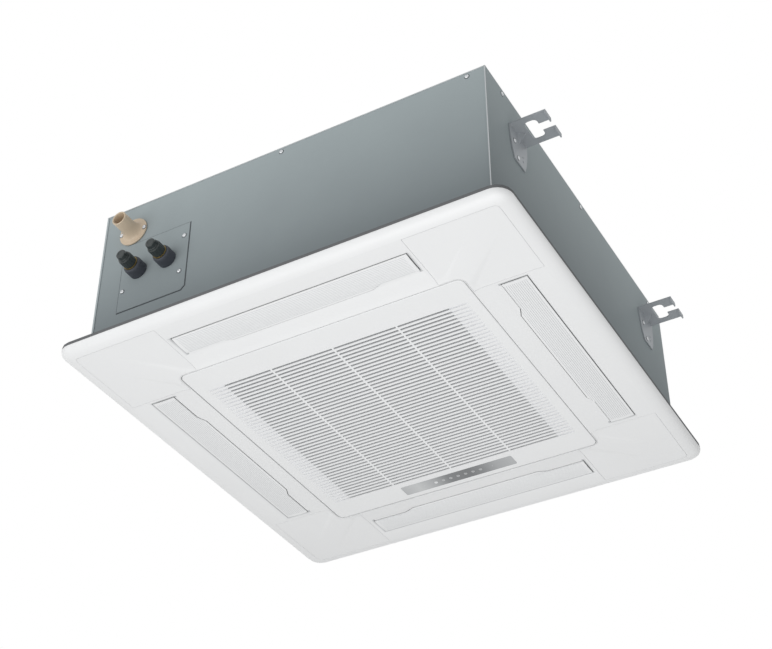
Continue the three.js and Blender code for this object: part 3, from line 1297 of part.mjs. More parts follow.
/** Outline of one corner cover in the +X +Y quarter, grown by `grow`. */
function coverOutline(grow) {
  const seam = COVER_SEAM - grow;
  const edge = COVER_EDGE + grow;
  const inner = OPENING_HALF + RING_LIP - grow;
  const round = COVER_CORNER + grow;
  const innerRound = OPENING_CORNER + RING_LIP - grow;
  const shape = new THREE.Shape();
  shape.moveTo(inner, seam);
  shape.lineTo(edge, seam);
  shape.absarc(edge - round, edge - round, round, 0, Math.PI / 2);
  shape.lineTo(seam, edge);
  shape.lineTo(seam, inner);
  shape.lineTo(inner - innerRound, inner);
  shape.absarc(inner - innerRound, inner - innerRound, innerRound, Math.PI / 2, 0, true);
  return shape;
}

/** Low wedge that carries the ring's height out along the diagonal until it runs out. */
function cornerWedge() {
  const onDiagonal = (along, aside, z) =>
    [(along + aside) / Math.SQRT2, (along - aside) / Math.SQRT2, z];
  const round = OPENING_CORNER + RING_LIP;
  const lip = (OPENING_HALF + RING_LIP - round) * Math.SQRT2 + round;
  const start = lip - WEDGE_TUCK;
  const end = (PANEL_HALF - WEDGE_INSET) * Math.SQRT2;
  const back = PANEL_FACE + PAST;
  return hull([-1, 1].flatMap((side) => [
    onDiagonal(start, side * WEDGE_CREST, GRILLE_FACE + WEDGE_SHY),
    onDiagonal(start, side * WEDGE_FOOT, PANEL_FACE),
    onDiagonal(start, side * WEDGE_FOOT, back),
    onDiagonal(end, side * WEDGE_END, PANEL_FACE),
    onDiagonal(end, side * WEDGE_END, back),
  ]));
}

/** The raised ring round the grille, as a plate that isn't opened yet. */
function ringPlate() {
  return softPlate(RING_OUTER, OPENING_CORNER + RING_LIP + RING_SLOPE,
    GRILLE_FACE, PANEL_FACE + PAST, RING_SLOPE, GRILLE_PROUD, 1);
}

/** Cover over one corner's screws, with its share of the ring and the wedge on it. */
function cornerCover() {
  const plate = slab(coverOutline(0), PANEL_FACE, COVER_BACK);
  const above = slab(coverOutline(0), GRILLE_FACE - PAST, COVER_BACK);
  return plate.add(ringPlate().add(cornerWedge()).intersect(above));
}

/** Solid round one outlet on the +X side before its duct is cut. */
function outletSurround() {
  const half = OUTLET_HALF + OUTLET_WALL;
  return block(RECESS_INNER, OUTLET_OUTER + PANEL_WALL, -half, half, PANEL_INSIDE - PAST, COLLAR_TOP);
}

/** The louver's outline in plan, grown by `grow`. */
function louverOutline(grow) {
  const inner = LOUVER_INNER - grow;
  const stepped = LOUVER_INNER + LOUVER_STEP - grow;
  const outer = LOUVER_OUTER + grow;
  const end = LOUVER_HALF + grow;
  const rampEnd = LOUVER_STEP_AT + LOUVER_STEP_RAMP;
  return outline([
    [outer, -end],
    [outer, end],
    [stepped, end],
    [stepped, rampEnd],
    [inner, LOUVER_STEP_AT],
    [inner, -LOUVER_STEP_AT],
    [stepped, -rampEnd],
    [stepped, -end],
  ]);
}

/** Everything cut away for one outlet on the +X side. */
function outletCut() {
  const ledge = PANEL_FACE + RECESS_DEPTH;
  const ductBase = ledge + RECESS_LEDGE;
  const duct = block(OUTLET_INNER, OUTLET_OUTER, -OUTLET_HALF, OUTLET_HALF, ductBase, PAST);
  const mouth = slab(louverOutline(LOUVER_GAP), PANEL_FACE - PAST, ductBase + PAST);
  const corners = (x0, x1, half, z) => [x0, x1].flatMap((x) => [[x, -half, z], [x, half, z]]);
  const recess = hull([
    ...corners(RECESS_INNER, OUTLET_OUTER + RECESS_OUTER_BORDER, OUTLET_HALF + RECESS_MARGIN,
      PANEL_FACE - RECESS_PAST),
    ...corners(LOUVER_INNER - LOUVER_GAP, LOUVER_OUTER + LOUVER_GAP, LOUVER_HALF + LOUVER_GAP,
      ledge),
  ]);
  const wall = OUTLET_HALF + OUTLET_WALL;
  const pivots = rodY(PIVOT_RADIUS + RUNNING_GAP, PIVOT_OUT, PIVOT_Z,
    -OUTLET_HALF - PIVOT_SOCKET, wall + PAST, 8);
  return joined([duct, mouth, recess, pivots]);
}

/** Lugs that reach over the grille's edge and carry its hinge pins. */
function hingeLugs() {
  const crossing = HINGE_Z + HINGE_SWING;
  const top = crossing + HINGE_ARM;
  const bore = HINGE_PIN + RUNNING_GAP;
  const lugs = [-1, 1].map((side) => {
    const x0 = side * HINGE_AT - HINGE_LUG / 2;
    const x1 = x0 + HINGE_LUG;
    const drop = block(x0, x1, HINGE_Y - HINGE_EYE, HINGE_Y + HINGE_EYE, HINGE_Z, top);
    const arm = block(x0, x1, HINGE_Y, OPENING_HALF + HINGE_ROOT, crossing, top);
    const root = block(x0, x1, OPENING_HALF, OPENING_HALF + HINGE_ROOT, PANEL_INSIDE, top);
    const eye = rodX(HINGE_EYE, HINGE_Y, HINGE_Z, x0, x1, 10);
    return joined([drop, arm, root, eye])
      .subtract(rodX(bore, HINGE_Y, HINGE_Z, x0 - PAST, x1 + PAST, 8));
  });
  return joined(lugs);
}

/** Moulded panel frame: rounded rim, grille ring, four outlets and screw bosses. */
function panelFrame() {
  const rise = PANEL_DROP - RIM_DROP;
  const shell = softPlate(PANEL_HALF, PANEL_CORNER, PANEL_FACE, PANEL_TOP, RIM_SLOPE, rise, 4);
  const hollow = softPlate(PANEL_HALF - PANEL_WALL, PANEL_CORNER - PANEL_WALL, PANEL_INSIDE,
    PANEL_TOP + PAST, RIM_SLOPE - RIM_INNER_STEP, rise - PANEL_WALL, 2);
  const wallHalf = OPENING_HALF + OPENING_WALL;
  const wall = slab(roundedRect(wallHalf, wallHalf, OPENING_CORNER + OPENING_WALL),
    PANEL_INSIDE - PAST, COLLAR_TOP);
  const opening = slab(roundedRect(OPENING_HALF, OPENING_HALF, OPENING_CORNER),
    GRILLE_FACE - PAST, PAST);
  const boss = rodZ(PANEL_BOSS_RADIUS, PANEL_BOSS_AT, PANEL_BOSS_AT,
    PANEL_INSIDE - PAST, COLLAR_TOP, 10);
  const screwHole = rodZ(PANEL_SCREW_RADIUS, PANEL_BOSS_AT, PANEL_BOSS_AT,
    PANEL_FACE - PAST, PAST, 6);
  const pocket = slab(coverOutline(COVER_GAP), GRILLE_FACE - PAST, COVER_BACK + SEAT);
  const raised = joined([shell.subtract(hollow), ringPlate(), wall,
    fourSides(outletSurround()), fourSides(boss)]);
  const cuts = [opening, fourSides(outletCut()), fourSides(pocket), fourSides(screwHole)];
  return without(raised, cuts).add(hingeLugs());
}

/** Foam seal between the panel's rim and the ceiling. */
function panelGasket() {
  return squareRing(PANEL_HALF - GASKET_INSET, PANEL_CORNER, BODY_HALF + GASKET_CLEAR, GASKET_CORNER,
    -GASKET_THICKNESS, 0, 2);
}

add('panel_frame', panelFrame(), WHITE_PLASTIC);
add('panel_gasket', panelGasket(), DARK_FOAM);

const CORNERS = ['right_rear', 'left_rear', 'left_front', 'right_front'];
CORNERS.forEach((corner, i) => {
  add('corner_cover_' + corner, cornerCover().rotate([0, 0, 90 * i]), WHITE_PLASTIC);
});

// ---------------------------------------------------------------------------
// Louvers and their stepper motors
// ---------------------------------------------------------------------------

/** Cross-section of the blade: a shallow arch that bulges downwards. */
function louverSection() {
  const inner = LOUVER_INNER;
  const width = LOUVER_OUTER - inner;
  const level = (r) => {
    const along = (r - inner) / width;
    return LOUVER_EDGE - 4 * LOUVER_SAG * along * (1 - along);
  };
  const steps = 4;
  const face = [];
  const back = [];
  for (let i = 0; i <= steps; i += 1) {
    const r = inner + (width * i) / steps;
    face.push([r, level(r)]);
    back.unshift([r, level(r) + LOUVER_THICKNESS]);
  }
  return outline([...face, ...back]);
}

/** One louver for the +X side with its two pivot arms and pins. */
function louver() {
  const blade = beamY(louverSection(), -LOUVER_HALF, LOUVER_HALF);
  const plan = slab(louverOutline(0), GRILLE_FACE, 0);
  const root = LOUVER_EDGE + LOUVER_THICKNESS - ARM_SINK;
  const armShape = new THREE.Shape();
  armShape.moveTo(PIVOT_OUT - ARM_FOOT_INNER, root - BITE);
  armShape.lineTo(PIVOT_OUT + ARM_FOOT_OUTER, root - ARM_SINK);
  armShape.lineTo(PIVOT_OUT + ARM_RADIUS, PIVOT_Z);
  armShape.absarc(PIVOT_OUT, PIVOT_Z, ARM_RADIUS, 0, Math.PI);
  const arms = [];
  for (const side of [-1, 1]) {
    const outer = side * (LOUVER_HALF - ARM_SETBACK);
    const inner = outer - side * ARM_THICKNESS;
    arms.push(beamY(armShape, ...ordered(outer, inner), 3));
    const driven = OUTLET_HALF + OUTLET_WALL + PIVOT_REACH;
    const tip = side > 0 ? driven : -OUTLET_HALF - PIVOT_SOCKET + BITE;
    arms.push(rodY(PIVOT_RADIUS, PIVOT_OUT, PIVOT_Z, ...ordered(inner, tip), 8));
  }
  return joined([blade.intersect(plan), ...arms]);
}

/** Small can motor on the outlet's end wall, with two ears and a bore for the pivot. */
function louverMotor() {
  const y0 = OUTLET_HALF + OUTLET_WALL + SEAT;
  const can = rodY(STEPPER_RADIUS, PIVOT_OUT, PIVOT_Z, y0, y0 + STEPPER_LENGTH, 12);
  const ear = roundedRect(STEPPER_EAR, STEPPER_EAR_HALF, STEPPER_EAR_HALF / 2, PIVOT_OUT, PIVOT_Z);
  const plate = beamY(ear, y0, y0 + STEPPER_PLATE, 1);
  const bore = rodY(PIVOT_RADIUS + 2 * RUNNING_GAP, PIVOT_OUT, PIVOT_Z,
    y0 - PAST, y0 + STEPPER_BORE_DEPTH, 8);
  return can.add(plate).subtract(bore);
}

const SIDES = ['right', 'rear', 'left', 'pipe'];
SIDES.forEach((side, i) => {
  const turned = new THREE.Group();
  turned.rotation.z = (Math.PI / 2) * i;
  unit.add(turned);
  add('louver_' + side, louver(), WHITE_PLASTIC, turned);
  add('louver_motor_' + side, louverMotor(), BLACK_PLASTIC, turned);
});

// ---------------------------------------------------------------------------
// Intake grille
// ---------------------------------------------------------------------------

/** Spans in X between the cross ribs, from one side of the field to the other. */
function slotSpans() {
  const half = RIB_WIDTH / 2;
  return [
    [-FIELD_HALF, -RIB_SPACING - half],
    [-RIB_SPACING + half, -half],
    [half, RIB_SPACING - half],
    [RIB_SPACING + half, FIELD_HALF],
  ];
}

/** One row of slots between two bars. */
function slotRow(y) {
  const half = SLOT_WIDTH / 2;
  return slotSpans().map(([x0, x1]) =>
    block(x0, x1, y - half, y + half, GRILLE_FACE - PAST, GRILLE_FACE + BAR_DEPTH + PAST));
}

/** Ears with the hinge pins, and the two hooks that the catches hold. */
function grilleFittings() {
  const inside = GRILLE_BACK - BITE;
  const pieces = [];
  for (const side of [-1, 1]) {
    const lugEnd = side * (HINGE_AT - HINGE_LUG / 2 - RUNNING_GAP);
    const [x0, x1] = ordered(lugEnd, lugEnd - side * HINGE_EAR);
    pieces.push(block(x0, x1, HINGE_Y - HINGE_EYE, HINGE_Y + HINGE_EYE, inside, HINGE_Z));
    pieces.push(rodX(HINGE_EYE, HINGE_Y, HINGE_Z, x0, x1, 10));
    const pin = ordered(side * (HINGE_AT + HINGE_LUG / 2 - BITE), side > 0 ? x0 : x1);
    pieces.push(rodX(HINGE_PIN, HINGE_Y, HINGE_Z, ...pin, 8));
    const hookX = side * CATCH_AT;
    pieces.push(block(hookX - HOOK_WIDTH / 2, hookX + HOOK_WIDTH / 2,
      HOOK_Y - HOOK_THICKNESS / 2, HOOK_Y + HOOK_THICKNESS / 2, inside, GRILLE_FACE + HOOK_RISE));
  }
  return joined(pieces);
}

/** Ledges beside the slot field that hold the filter on the grille's back. */
function filterRails() {
  const inner = FILTER_HALF + SEAT;
  const rails = [-1, 1].map((side) => block(...ordered(side * inner, side * (inner + RAIL_WIDTH)),
    -FILTER_HALF, FILTER_HALF, GRILLE_BACK - BITE, FILTER_BASE + FILTER_THICKNESS));
  return joined(rails);
}

/** Hinged grille plate: its field of slots, the seat of the display, and the hinge notches. */
function intakeGrille() {
  const skirtTop = GRILLE_FACE + GRILLE_SKIRT;
  const plate = softPlate(GRILLE_HALF, GRILLE_CORNER, GRILLE_FACE, skirtTop,
    GRILLE_EDGE, GRILLE_EDGE, 2);
  const innerHalf = GRILLE_HALF - GRILLE_SKIRT_WALL;
  const hollow = slab(roundedRect(innerHalf, innerHalf, GRILLE_CORNER - GRILLE_SKIRT_WALL),
    GRILLE_BACK, skirtTop + PAST);
  const wide = FIELD_HALF + FIELD_FRAME;
  const field = block(-wide, wide, -wide, wide, GRILLE_FACE + FACE_SKIN, GRILLE_FACE + BAR_DEPTH);
  const slots = [];
  for (let i = 0; i < SLOT_ROWS; i += 1) {
    slots.push(...slotRow(SLOT_PITCH * (i - (SLOT_ROWS - 1) / 2)));
  }
  const pocket = slab(roundedRect(DISPLAY_LENGTH / 2 + SEAT, DISPLAY_WIDTH / 2 + SEAT,
    DISPLAY_CORNER + SEAT, 0, DISPLAY_AT), GRILLE_FACE - PAST, DISPLAY_BACK, 2);
  const halfX = BOARD_LENGTH / 2 + BOARD_SPACE;
  const halfY = BOARD_WIDTH / 2 + BOARD_SPACE;
  const window = block(-halfX, halfX, DISPLAY_AT - halfY, DISPLAY_AT + halfY,
    GRILLE_FACE, GRILLE_BACK + PAST);
  const notches = [-1, 1].map((side) => {
    const half = HINGE_LUG / 2 + RUNNING_GAP;
    return block(side * HINGE_AT - half, side * HINGE_AT + half,
      HINGE_Y - 2 * HINGE_EYE, GRILLE_HALF + PAST, GRILLE_FACE + NOTCH_SKIN, skirtTop + PAST);
  });
  const moulded = joined([plate.subtract(hollow), field, filterRails()]);
  return without(moulded, [joined(slots), pocket, window, ...notches]).add(grilleFittings());
}

/** Flat filter: one plate with a lattice of square windows for the mesh. */
function airFilter() {
  const z0 = FILTER_BASE;
  const z1 = z0 + FILTER_THICKNESS;
  const pitch = (2 * FILTER_HALF - 2 * FILTER_BORDER + FILTER_RIB) / FILTER_CELLS;
  const half = (pitch - FILTER_RIB) / 2;
  const windows = [];
  for (let i = 0; i < FILTER_CELLS; i += 1) {
    for (let j = 0; j < FILTER_CELLS; j += 1) {
      const x = pitch * (i - (FILTER_CELLS - 1) / 2);
      const y = pitch * (j - (FILTER_CELLS - 1) / 2);
      windows.push(block(x - half, x + half, y - half, y + half, z0 - PAST, z1 + PAST));
    }
  }
  return slab(roundedRect(FILTER_HALF, FILTER_HALF, FILTER_CORNER), z0, z1, 1)
    .subtract(joined(windows));
}

/** Where one of the strip's round marks sits along it. */
function markX(i) {
  return MARK_PITCH * (i - MARK_MIDDLE);
}

/** Glossy strip with a bore for the push button under its first mark. */
function displayStrip() {
  const shape = roundedRect(DISPLAY_LENGTH / 2, DISPLAY_WIDTH / 2, DISPLAY_CORNER, 0, DISPLAY_AT);
  const strip = slab(shape, GRILLE_FACE, GRILLE_FACE + DISPLAY_THICKNESS, 2);
  const bore = rodZ(BUTTON_RADIUS + SEAT, markX(0), DISPLAY_AT, GRILLE_FACE - PAST,
    DISPLAY_BACK + PAST, 16);
  return strip.subtract(bore);
}

/** Circuit board box behind the strip, with a blind hole for the button's stem. */
function displayBoard() {
  const z0 = DISPLAY_BACK;
  const board = block(-BOARD_LENGTH / 2, BOARD_LENGTH / 2, DISPLAY_AT - BOARD_WIDTH / 2,
    DISPLAY_AT + BOARD_WIDTH / 2, z0, z0 + BOARD_HEIGHT);
  const hole = rodZ(BUTTON_RADIUS + 2 * BUTTON_COLLAR, markX(0), DISPLAY_AT,
    z0 - PAST, z0 + STEM_DEPTH, 12);
  return board.subtract(hole);
}

/** Push button: a cap in the strip's bore with a collar that stops it falling out. */
function manualButton() {
  const x = markX(0);
  const [low, high] = COLLAR_SPAN;
  const cap = rodZ(BUTTON_RADIUS, x, DISPLAY_AT, GRILLE_FACE - BUTTON_HEAD, DISPLAY_BACK + BITE, 16);
  const foot = rodZ(BUTTON_RADIUS + BUTTON_COLLAR, x, DISPLAY_AT,
    DISPLAY_BACK + low, DISPLAY_BACK + high, 12);
  return cap.add(foot);
}

/** Spring clip on the frame, with a prong on each side of one of the grille's hooks. */
function grilleCatch(side) {
  const x = side * CATCH_AT;
  const base = GRILLE_FACE + GRILLE_SKIRT + CATCH_LIFT;
  const half = HOOK_WIDTH / 2;
  const grip = HOOK_THICKNESS / 2 + CATCH_GRIP;
  const inner = HOOK_Y + grip + CATCH_WALL;
  const housing = block(x - half, x + half, -OPENING_HALF + SEAT, inner, base, base + CATCH_HEIGHT);
  const prongs = [-1, 1].map((way) => block(x - half, x + half,
    ...ordered(HOOK_Y + way * grip, HOOK_Y + way * (grip + CATCH_WALL)),
    base - CATCH_PRONG, base + PAST));
  return joined([housing, ...prongs]);
}

add('intake_grille', intakeGrille(), WHITE_PLASTIC);
add('air_filter', airFilter(), GREY_PLASTIC);
add('display_strip', displayStrip(), MIRROR_STRIP);
add('display_board', displayBoard(), BOARD_GREEN);
add('manual_button', manualButton(), MIRROR_STRIP);
add('grille_catch_left', grilleCatch(-1), GREY_PLASTIC);
add('grille_catch_right', grilleCatch(1), GREY_PLASTIC);

export default unit;
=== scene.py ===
import bmesh
import bpy
import json
from math import atan2, cos, pi, radians, sin
from mathutils import Matrix, Vector


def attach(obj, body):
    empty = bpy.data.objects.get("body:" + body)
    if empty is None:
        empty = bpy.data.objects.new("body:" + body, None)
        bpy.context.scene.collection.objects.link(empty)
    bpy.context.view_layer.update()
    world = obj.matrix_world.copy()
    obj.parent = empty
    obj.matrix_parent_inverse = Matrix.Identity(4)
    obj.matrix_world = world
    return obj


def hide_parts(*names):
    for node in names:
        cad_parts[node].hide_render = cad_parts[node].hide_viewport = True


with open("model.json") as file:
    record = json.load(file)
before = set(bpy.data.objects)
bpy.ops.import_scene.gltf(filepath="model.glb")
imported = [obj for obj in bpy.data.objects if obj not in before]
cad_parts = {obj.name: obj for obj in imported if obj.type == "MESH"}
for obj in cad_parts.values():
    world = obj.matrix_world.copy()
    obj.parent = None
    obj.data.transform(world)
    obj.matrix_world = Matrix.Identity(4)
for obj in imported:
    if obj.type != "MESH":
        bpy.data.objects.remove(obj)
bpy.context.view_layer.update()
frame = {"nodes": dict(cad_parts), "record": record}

# ---------------------------------------------------------------------------
# The camera stands below the unit, a little to the right of the pipe side, and
# looks up at it, as the photograph does.

MM = 0.001
CAMERA_PLACE = Vector((1234.6, -2225.7, -1767.7)) * MM
CAMERA_AZIMUTH = 0.51325
CAMERA_ELEVATION = -0.65648
CAMERA_LENS = 72.36
CAMERA_REACH = 50

bpy.ops.object.camera_add(location=CAMERA_PLACE)
camera = bpy.context.object
level = cos(CAMERA_ELEVATION)
sight = Vector((-sin(CAMERA_AZIMUTH) * level, cos(CAMERA_AZIMUTH) * level,
                -sin(CAMERA_ELEVATION)))
camera.rotation_euler = sight.to_track_quat("-Z", "Y").to_euler()
camera.data.lens = CAMERA_LENS
camera.data.clip_end = CAMERA_REACH
bpy.context.scene.camera = camera

# ---------------------------------------------------------------------------
# The casing is a box of pre-painted galvanised sheet: a top plate and four side
# panels, folded and screwed together. Its cut edges and folds are pale zinc with a
# painted highlight, and a painted shade darkens its paint towards the decoration panel.

EDGE_SAMPLES = 6


class Wire:
    """A shader value on which arithmetic adds Math nodes."""

    def __init__(self, look, socket):
        self.look = look
        self.socket = socket

    def __add__(self, other):
        return self.look.math("ADD", self, other)

    def __radd__(self, other):
        return self.look.math("ADD", other, self)

    def __sub__(self, other):
        return self.look.math("SUBTRACT", self, other)

    def __rsub__(self, other):
        return self.look.math("SUBTRACT", other, self)

    def __mul__(self, other):
        return self.look.math("MULTIPLY", self, other)

    def __rmul__(self, other):
        return self.look.math("MULTIPLY", other, self)

    def __truediv__(self, other):
        return self.look.math("DIVIDE", self, other)

    def __rtruediv__(self, other):
        return self.look.math("DIVIDE", other, self)

    def __abs__(self):
        return self.look.math("ABSOLUTE", self)


class Look:
    """One material: a Principled shader, with a method that adds any other node."""

    def __init__(self, name, **constants):
        self.material = bpy.data.materials.new(name)
        self.material.use_nodes = True
        self.tree = self.material.node_tree
        self.shader = self.tree.nodes["Principled BSDF"]
        for socket, value in constants.items():
            self.shader.inputs[socket.replace("_", " ")].default_value = value

    def node(self, kind, settings, values, output=0):
        made = self.tree.nodes.new(kind)
        for setting, value in settings.items():
            if setting == "stops":
                ramp = made.color_ramp
                while len(ramp.elements) < len(value):
                    ramp.elements.new(1)
                for element, (position, color) in zip(ramp.elements, value):
                    element.position = position
                    element.color = color
            else:
                setattr(made, setting, value)
        pairs = values.items() if isinstance(values, dict) else enumerate(values)
        for key, value in pairs:
            if isinstance(value, Wire):
                self.tree.links.new(value.socket, made.inputs[key])
            else:
                made.inputs[key].default_value = value
        return Wire(self, made.outputs[output])

    def math(self, operation, *values):
        return self.node("ShaderNodeMath", {"operation": operation}, values)

    def place(self):
        return self.node("ShaderNodeTexCoord", {}, {}, "Object")

    def axes(self):
        split = self.node("ShaderNodeSeparateXYZ", {}, [self.place()]).socket.node
        return [Wire(self, split.outputs[i]) for i in range(3)]

    def noise(self, scale, detail, roughness=0.5, stretch=None):
        where = self.place()
        if stretch:
            where = self.node("ShaderNodeMapping", {}, {"Vector": where, "Scale": stretch})
        values = {"Vector": where, "Scale": scale, "Detail": detail, "Roughness": roughness}
        return self.node("ShaderNodeTexNoise", {}, values)

    def blend(self, factor, first, second):
        values = {"Factor": factor, 6: first, 7: second}
        return self.node("ShaderNodeMix", {"data_type": "RGBA"}, values, 2)

    def bump(self, height, distance, under=None):
        values = {"Height": height, "Distance": distance, "Strength": 1.0}
        if under:
            values["Normal"] = under
        return self.node("ShaderNodeBump", {}, values)

    def soft_edges(self, radius):
        return self.node("ShaderNodeBevel", {"samples": EDGE_SAMPLES}, {"Radius": radius})

    def feed(self, socket, wire):
        self.tree.links.new(wire.socket, self.shader.inputs[socket])


def linear(*srgb):
    """A colour as it is seen, 0 to 255, in the numbers that a shader takes."""
    def channel(value):
        value = value / 255
        return value / 12.92 if value <= 0.04045 else ((value + 0.055) / 1.055) ** 2.4
    return (*[channel(value) for value in srgb], 1.0)


def dress(material, *nodes):
    """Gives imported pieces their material."""
    for name in nodes:
        mesh = frame["nodes"][name].data
        mesh.materials.clear()
        mesh.materials.append(material)


# A noise is given by its scale, detail, roughness and stretch.
SHEET_TONES = (5, 4, 0.6)
ROLLED_GRAIN = (380, 2, 0.6, (1, 1, 0.15))
SHEET_WAVES = (3.2, 1)
GRAIN_DEPTH = 0.00002
WAVE_DEPTH = 0.0003
SHEET_GLOSS_RANGE = 0.12


def rolled(look, roughness, edge):
    """Gives sheet an uneven gloss, a rolled grain, slight waves and soft edges."""
    grain = look.noise(*ROLLED_GRAIN)
    look.feed("Roughness", roughness - SHEET_GLOSS_RANGE / 2 + SHEET_GLOSS_RANGE * grain)
    waves = look.bump(look.noise(*SHEET_WAVES), WAVE_DEPTH, look.soft_edges(edge))
    look.feed("Normal", look.bump(grain, GRAIN_DEPTH, waves))


BODY_TOP = 342
HEM_LINES = (428.2, 429.2)
FOLD_LINES = (425.5, 428.4)
EDGE_LINES = (428.4, 428.4)

PAINT_LIT_TOP = linear(181, 192, 194), linear(172, 182, 185)
PAINT_SHADED_FOOT = linear(139, 148, 151), linear(132, 139, 143)
PAINT_SHEEN = 0.03
PAINT_ROUGHNESS = 0.52
PAINT_EDGE = 0.0003
HEM_ZINC_HIGHLIGHT = linear(212, 216, 218)
FOLD_ZINC_HIGHLIGHT = linear(186, 195, 198)


def painted_sheet(name, pale_join=None, lines=(0, 0), zinc=HEM_ZINC_HIGHLIGHT):
    """The casing's paint, with painted shade towards the bottom, and pale zinc with a painted
    highlight past a line on |x| and a line on |y|: past both of them where pale_join is
    MULTIPLY, past one of them where it is MAXIMUM."""
    look = Look(name, Specular_IOR_Level=PAINT_SHEEN)
    cloud = look.noise(*SHEET_TONES)
    x, y, z = look.axes()
    # painted shade: the paint runs from its lit top tone to its shaded foot tone towards the
    # bottom
    height = look.math("MINIMUM", z / (BODY_TOP * MM), 1)
    paint = look.blend(height, look.blend(cloud, *PAINT_SHADED_FOOT), look.blend(cloud, *PAINT_LIT_TOP))
    if pale_join:
        edges = [look.math("GREATER_THAN", abs(axis), line * MM)
                 for axis, line in zip((x, y), lines)]
        paint = look.blend(look.math(pale_join, *edges), paint, zinc)
    look.feed("Base Color", paint)
    rolled(look, PAINT_ROUGHNESS, PAINT_EDGE)
    return look.material


# The folds, the right panel's hem and the top plate's edges are pale zinc with a painted
# highlight, paler on the right than on the left.
dress(painted_sheet("shaded_casing_paint"), "side_panel_rear", "side_panel_pipe", "pipe_cover_plate")
dress(painted_sheet("folded_paint_highlight", "MULTIPLY", FOLD_LINES, FOLD_ZINC_HIGHLIGHT), "side_panel_left")
dress(painted_sheet("hemmed_paint_highlight", "MULTIPLY", HEM_LINES), "side_panel_right")
dress(painted_sheet("edged_paint_highlight", "MAXIMUM", EDGE_LINES), "top_plate")

# ---------------------------------------------------------------------------
# The screws are zinc-plated pan heads with a cross recess, each over a steel
# washer whose dark tone paints the shade round the head. They are driven into the
# casing's upper edge, the pipe cover plate, the drain flange and the feet of the
# hanger brackets.

MERGE = 0.00001
SHARP = 35
BEVEL_SEGMENTS = 2
ROUND_STEPS = 64
SHEET_EDGE = 0.0008
BODY_OF = {node: body for body, nodes in frame["record"]["behaviour"]["bodies"].items()
           for node in nodes}


def sheet_metal(name, color, shade, roughness, metallic, **constants):
    """Plated, galvanised or plain sheet metal in two close tones."""
    look = Look(name, Metallic=metallic, **constants)
    look.feed("Base Color", look.blend(look.noise(*SHEET_TONES), color, shade))
    rolled(look, roughness, SHEET_EDGE)
    return look.material


def add_piece(name, bm, material, node, replaced=(), sharp=SHARP, bevel=0.0):
    """A new piece with the given material, on the body of an imported one."""
    for face in bm.faces:
        face.smooth = True
    for edge in bm.edges:
        edge.smooth = len(edge.link_faces) == 2 and edge.calc_face_angle(0) < radians(sharp)
    mesh = bpy.data.meshes.new(name)
    bm.to_mesh(mesh)
    bm.free()
    mesh.materials.append(material)
    piece = bpy.data.objects.new(name, mesh)
    bpy.context.scene.collection.objects.link(piece)
    if bevel:
        edges = piece.modifiers.new("edges", "BEVEL")
        edges.width = bevel
        edges.segments = BEVEL_SEGMENTS
        edges.limit_method = "ANGLE"
        edges.angle_limit = radians(sharp)
    piece.modifiers.new("normals", "WEIGHTED_NORMAL").keep_sharp = True
    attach(piece, BODY_OF[node])
    if replaced:
        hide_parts(*replaced)


def carved(shape, cutter):
    """The first shape with the second cut out of it."""
    pair = []
    for bm in (shape, cutter):
        mesh = bpy.data.meshes.new("carving")
        bm.to_mesh(mesh)
        bm.free()
        pair.append(bpy.data.objects.new("carving", mesh))
        bpy.context.scene.collection.objects.link(pair[-1])
    cut = pair[0].modifiers.new("cut", "BOOLEAN")
    cut.operation = "DIFFERENCE"
    cut.solver = "EXACT"
    cut.object = pair[1]
    result = bmesh.new()
    result.from_object(pair[0], bpy.context.evaluated_depsgraph_get())
    for made in pair:
        mesh = made.data
        bpy.data.objects.remove(made)
        bpy.data.meshes.remove(mesh)
    return result


def prism(front, back):
    """A solid between two outlines with as many points, in millimetres."""
    bm = bmesh.new()
    near = [bm.verts.new(Vector(point) * MM) for point in front]
    far = [bm.verts.new(Vector(point) * MM) for point in back]
    bm.faces.new(near)
    bm.faces.new(far[::-1])
    for i, vert in enumerate(near):
        bm.faces.new((near[i - 1], far[i - 1], far[i], vert))
    bmesh.ops.recalc_face_normals(bm, faces=bm.faces)
    return bm


def lathe(points, origin, axis, steps=ROUND_STEPS):
    """Spins a profile of (radius, height) in millimetres round an axis."""
    side = Vector(axis).orthogonal().normalized()
    bm = bmesh.new()
    rim = [bm.verts.new((Vector(origin) + side * r + Vector(axis) * h) * MM) for r, h in points]
    edges = [bm.edges.new(pair) for pair in zip(rim, rim[1:])]
    bmesh.ops.spin(bm, geom=rim + edges, cent=Vector(origin) * MM, axis=axis, angle=2 * pi,
                   steps=steps, use_merge=True)
    bmesh.ops.remove_doubles(bm, verts=bm.verts, dist=MERGE)
    bmesh.ops.recalc_face_normals(bm, faces=bm.faces)
    return bm


WASHER_THICKNESS = 0.35
WASHER = [(0, 0), (5.5, 0), (5.5, WASHER_THICKNESS), (0, WASHER_THICKNESS)]
SCREW_HEAD = [(0, 0), (4.2, 0), (4.2, 0.5), (3.9, 1.2), (3.1, 1.8), (1.8, 2.1), (0, 2.15)]
RECESS_REACH = 2.1
RECESS_HALF = 0.45
RECESS_FLOOR = 0.8
RECESS_TOP = 3.5
RECESS_TAPER = 0.7
SCREW_STEPS = 20
SCREW_TURN = 0.7

screw_zinc = sheet_metal("screw_zinc", linear(240, 242, 244), linear(226, 229, 232), 0.3, 0.4)
# painted shade: the washers' dark steel tone stands for the shade round each screw head
shaded_washer_steel = sheet_metal("shaded_washer_steel", linear(112, 117, 121), linear(98, 103, 107), 0.4, 0.5)


def as_mesh(name, bm):
    """A mesh that is copied for each screw."""
    mesh = bpy.data.meshes.new(name)
    bm.to_mesh(mesh)
    bm.free()
    return mesh


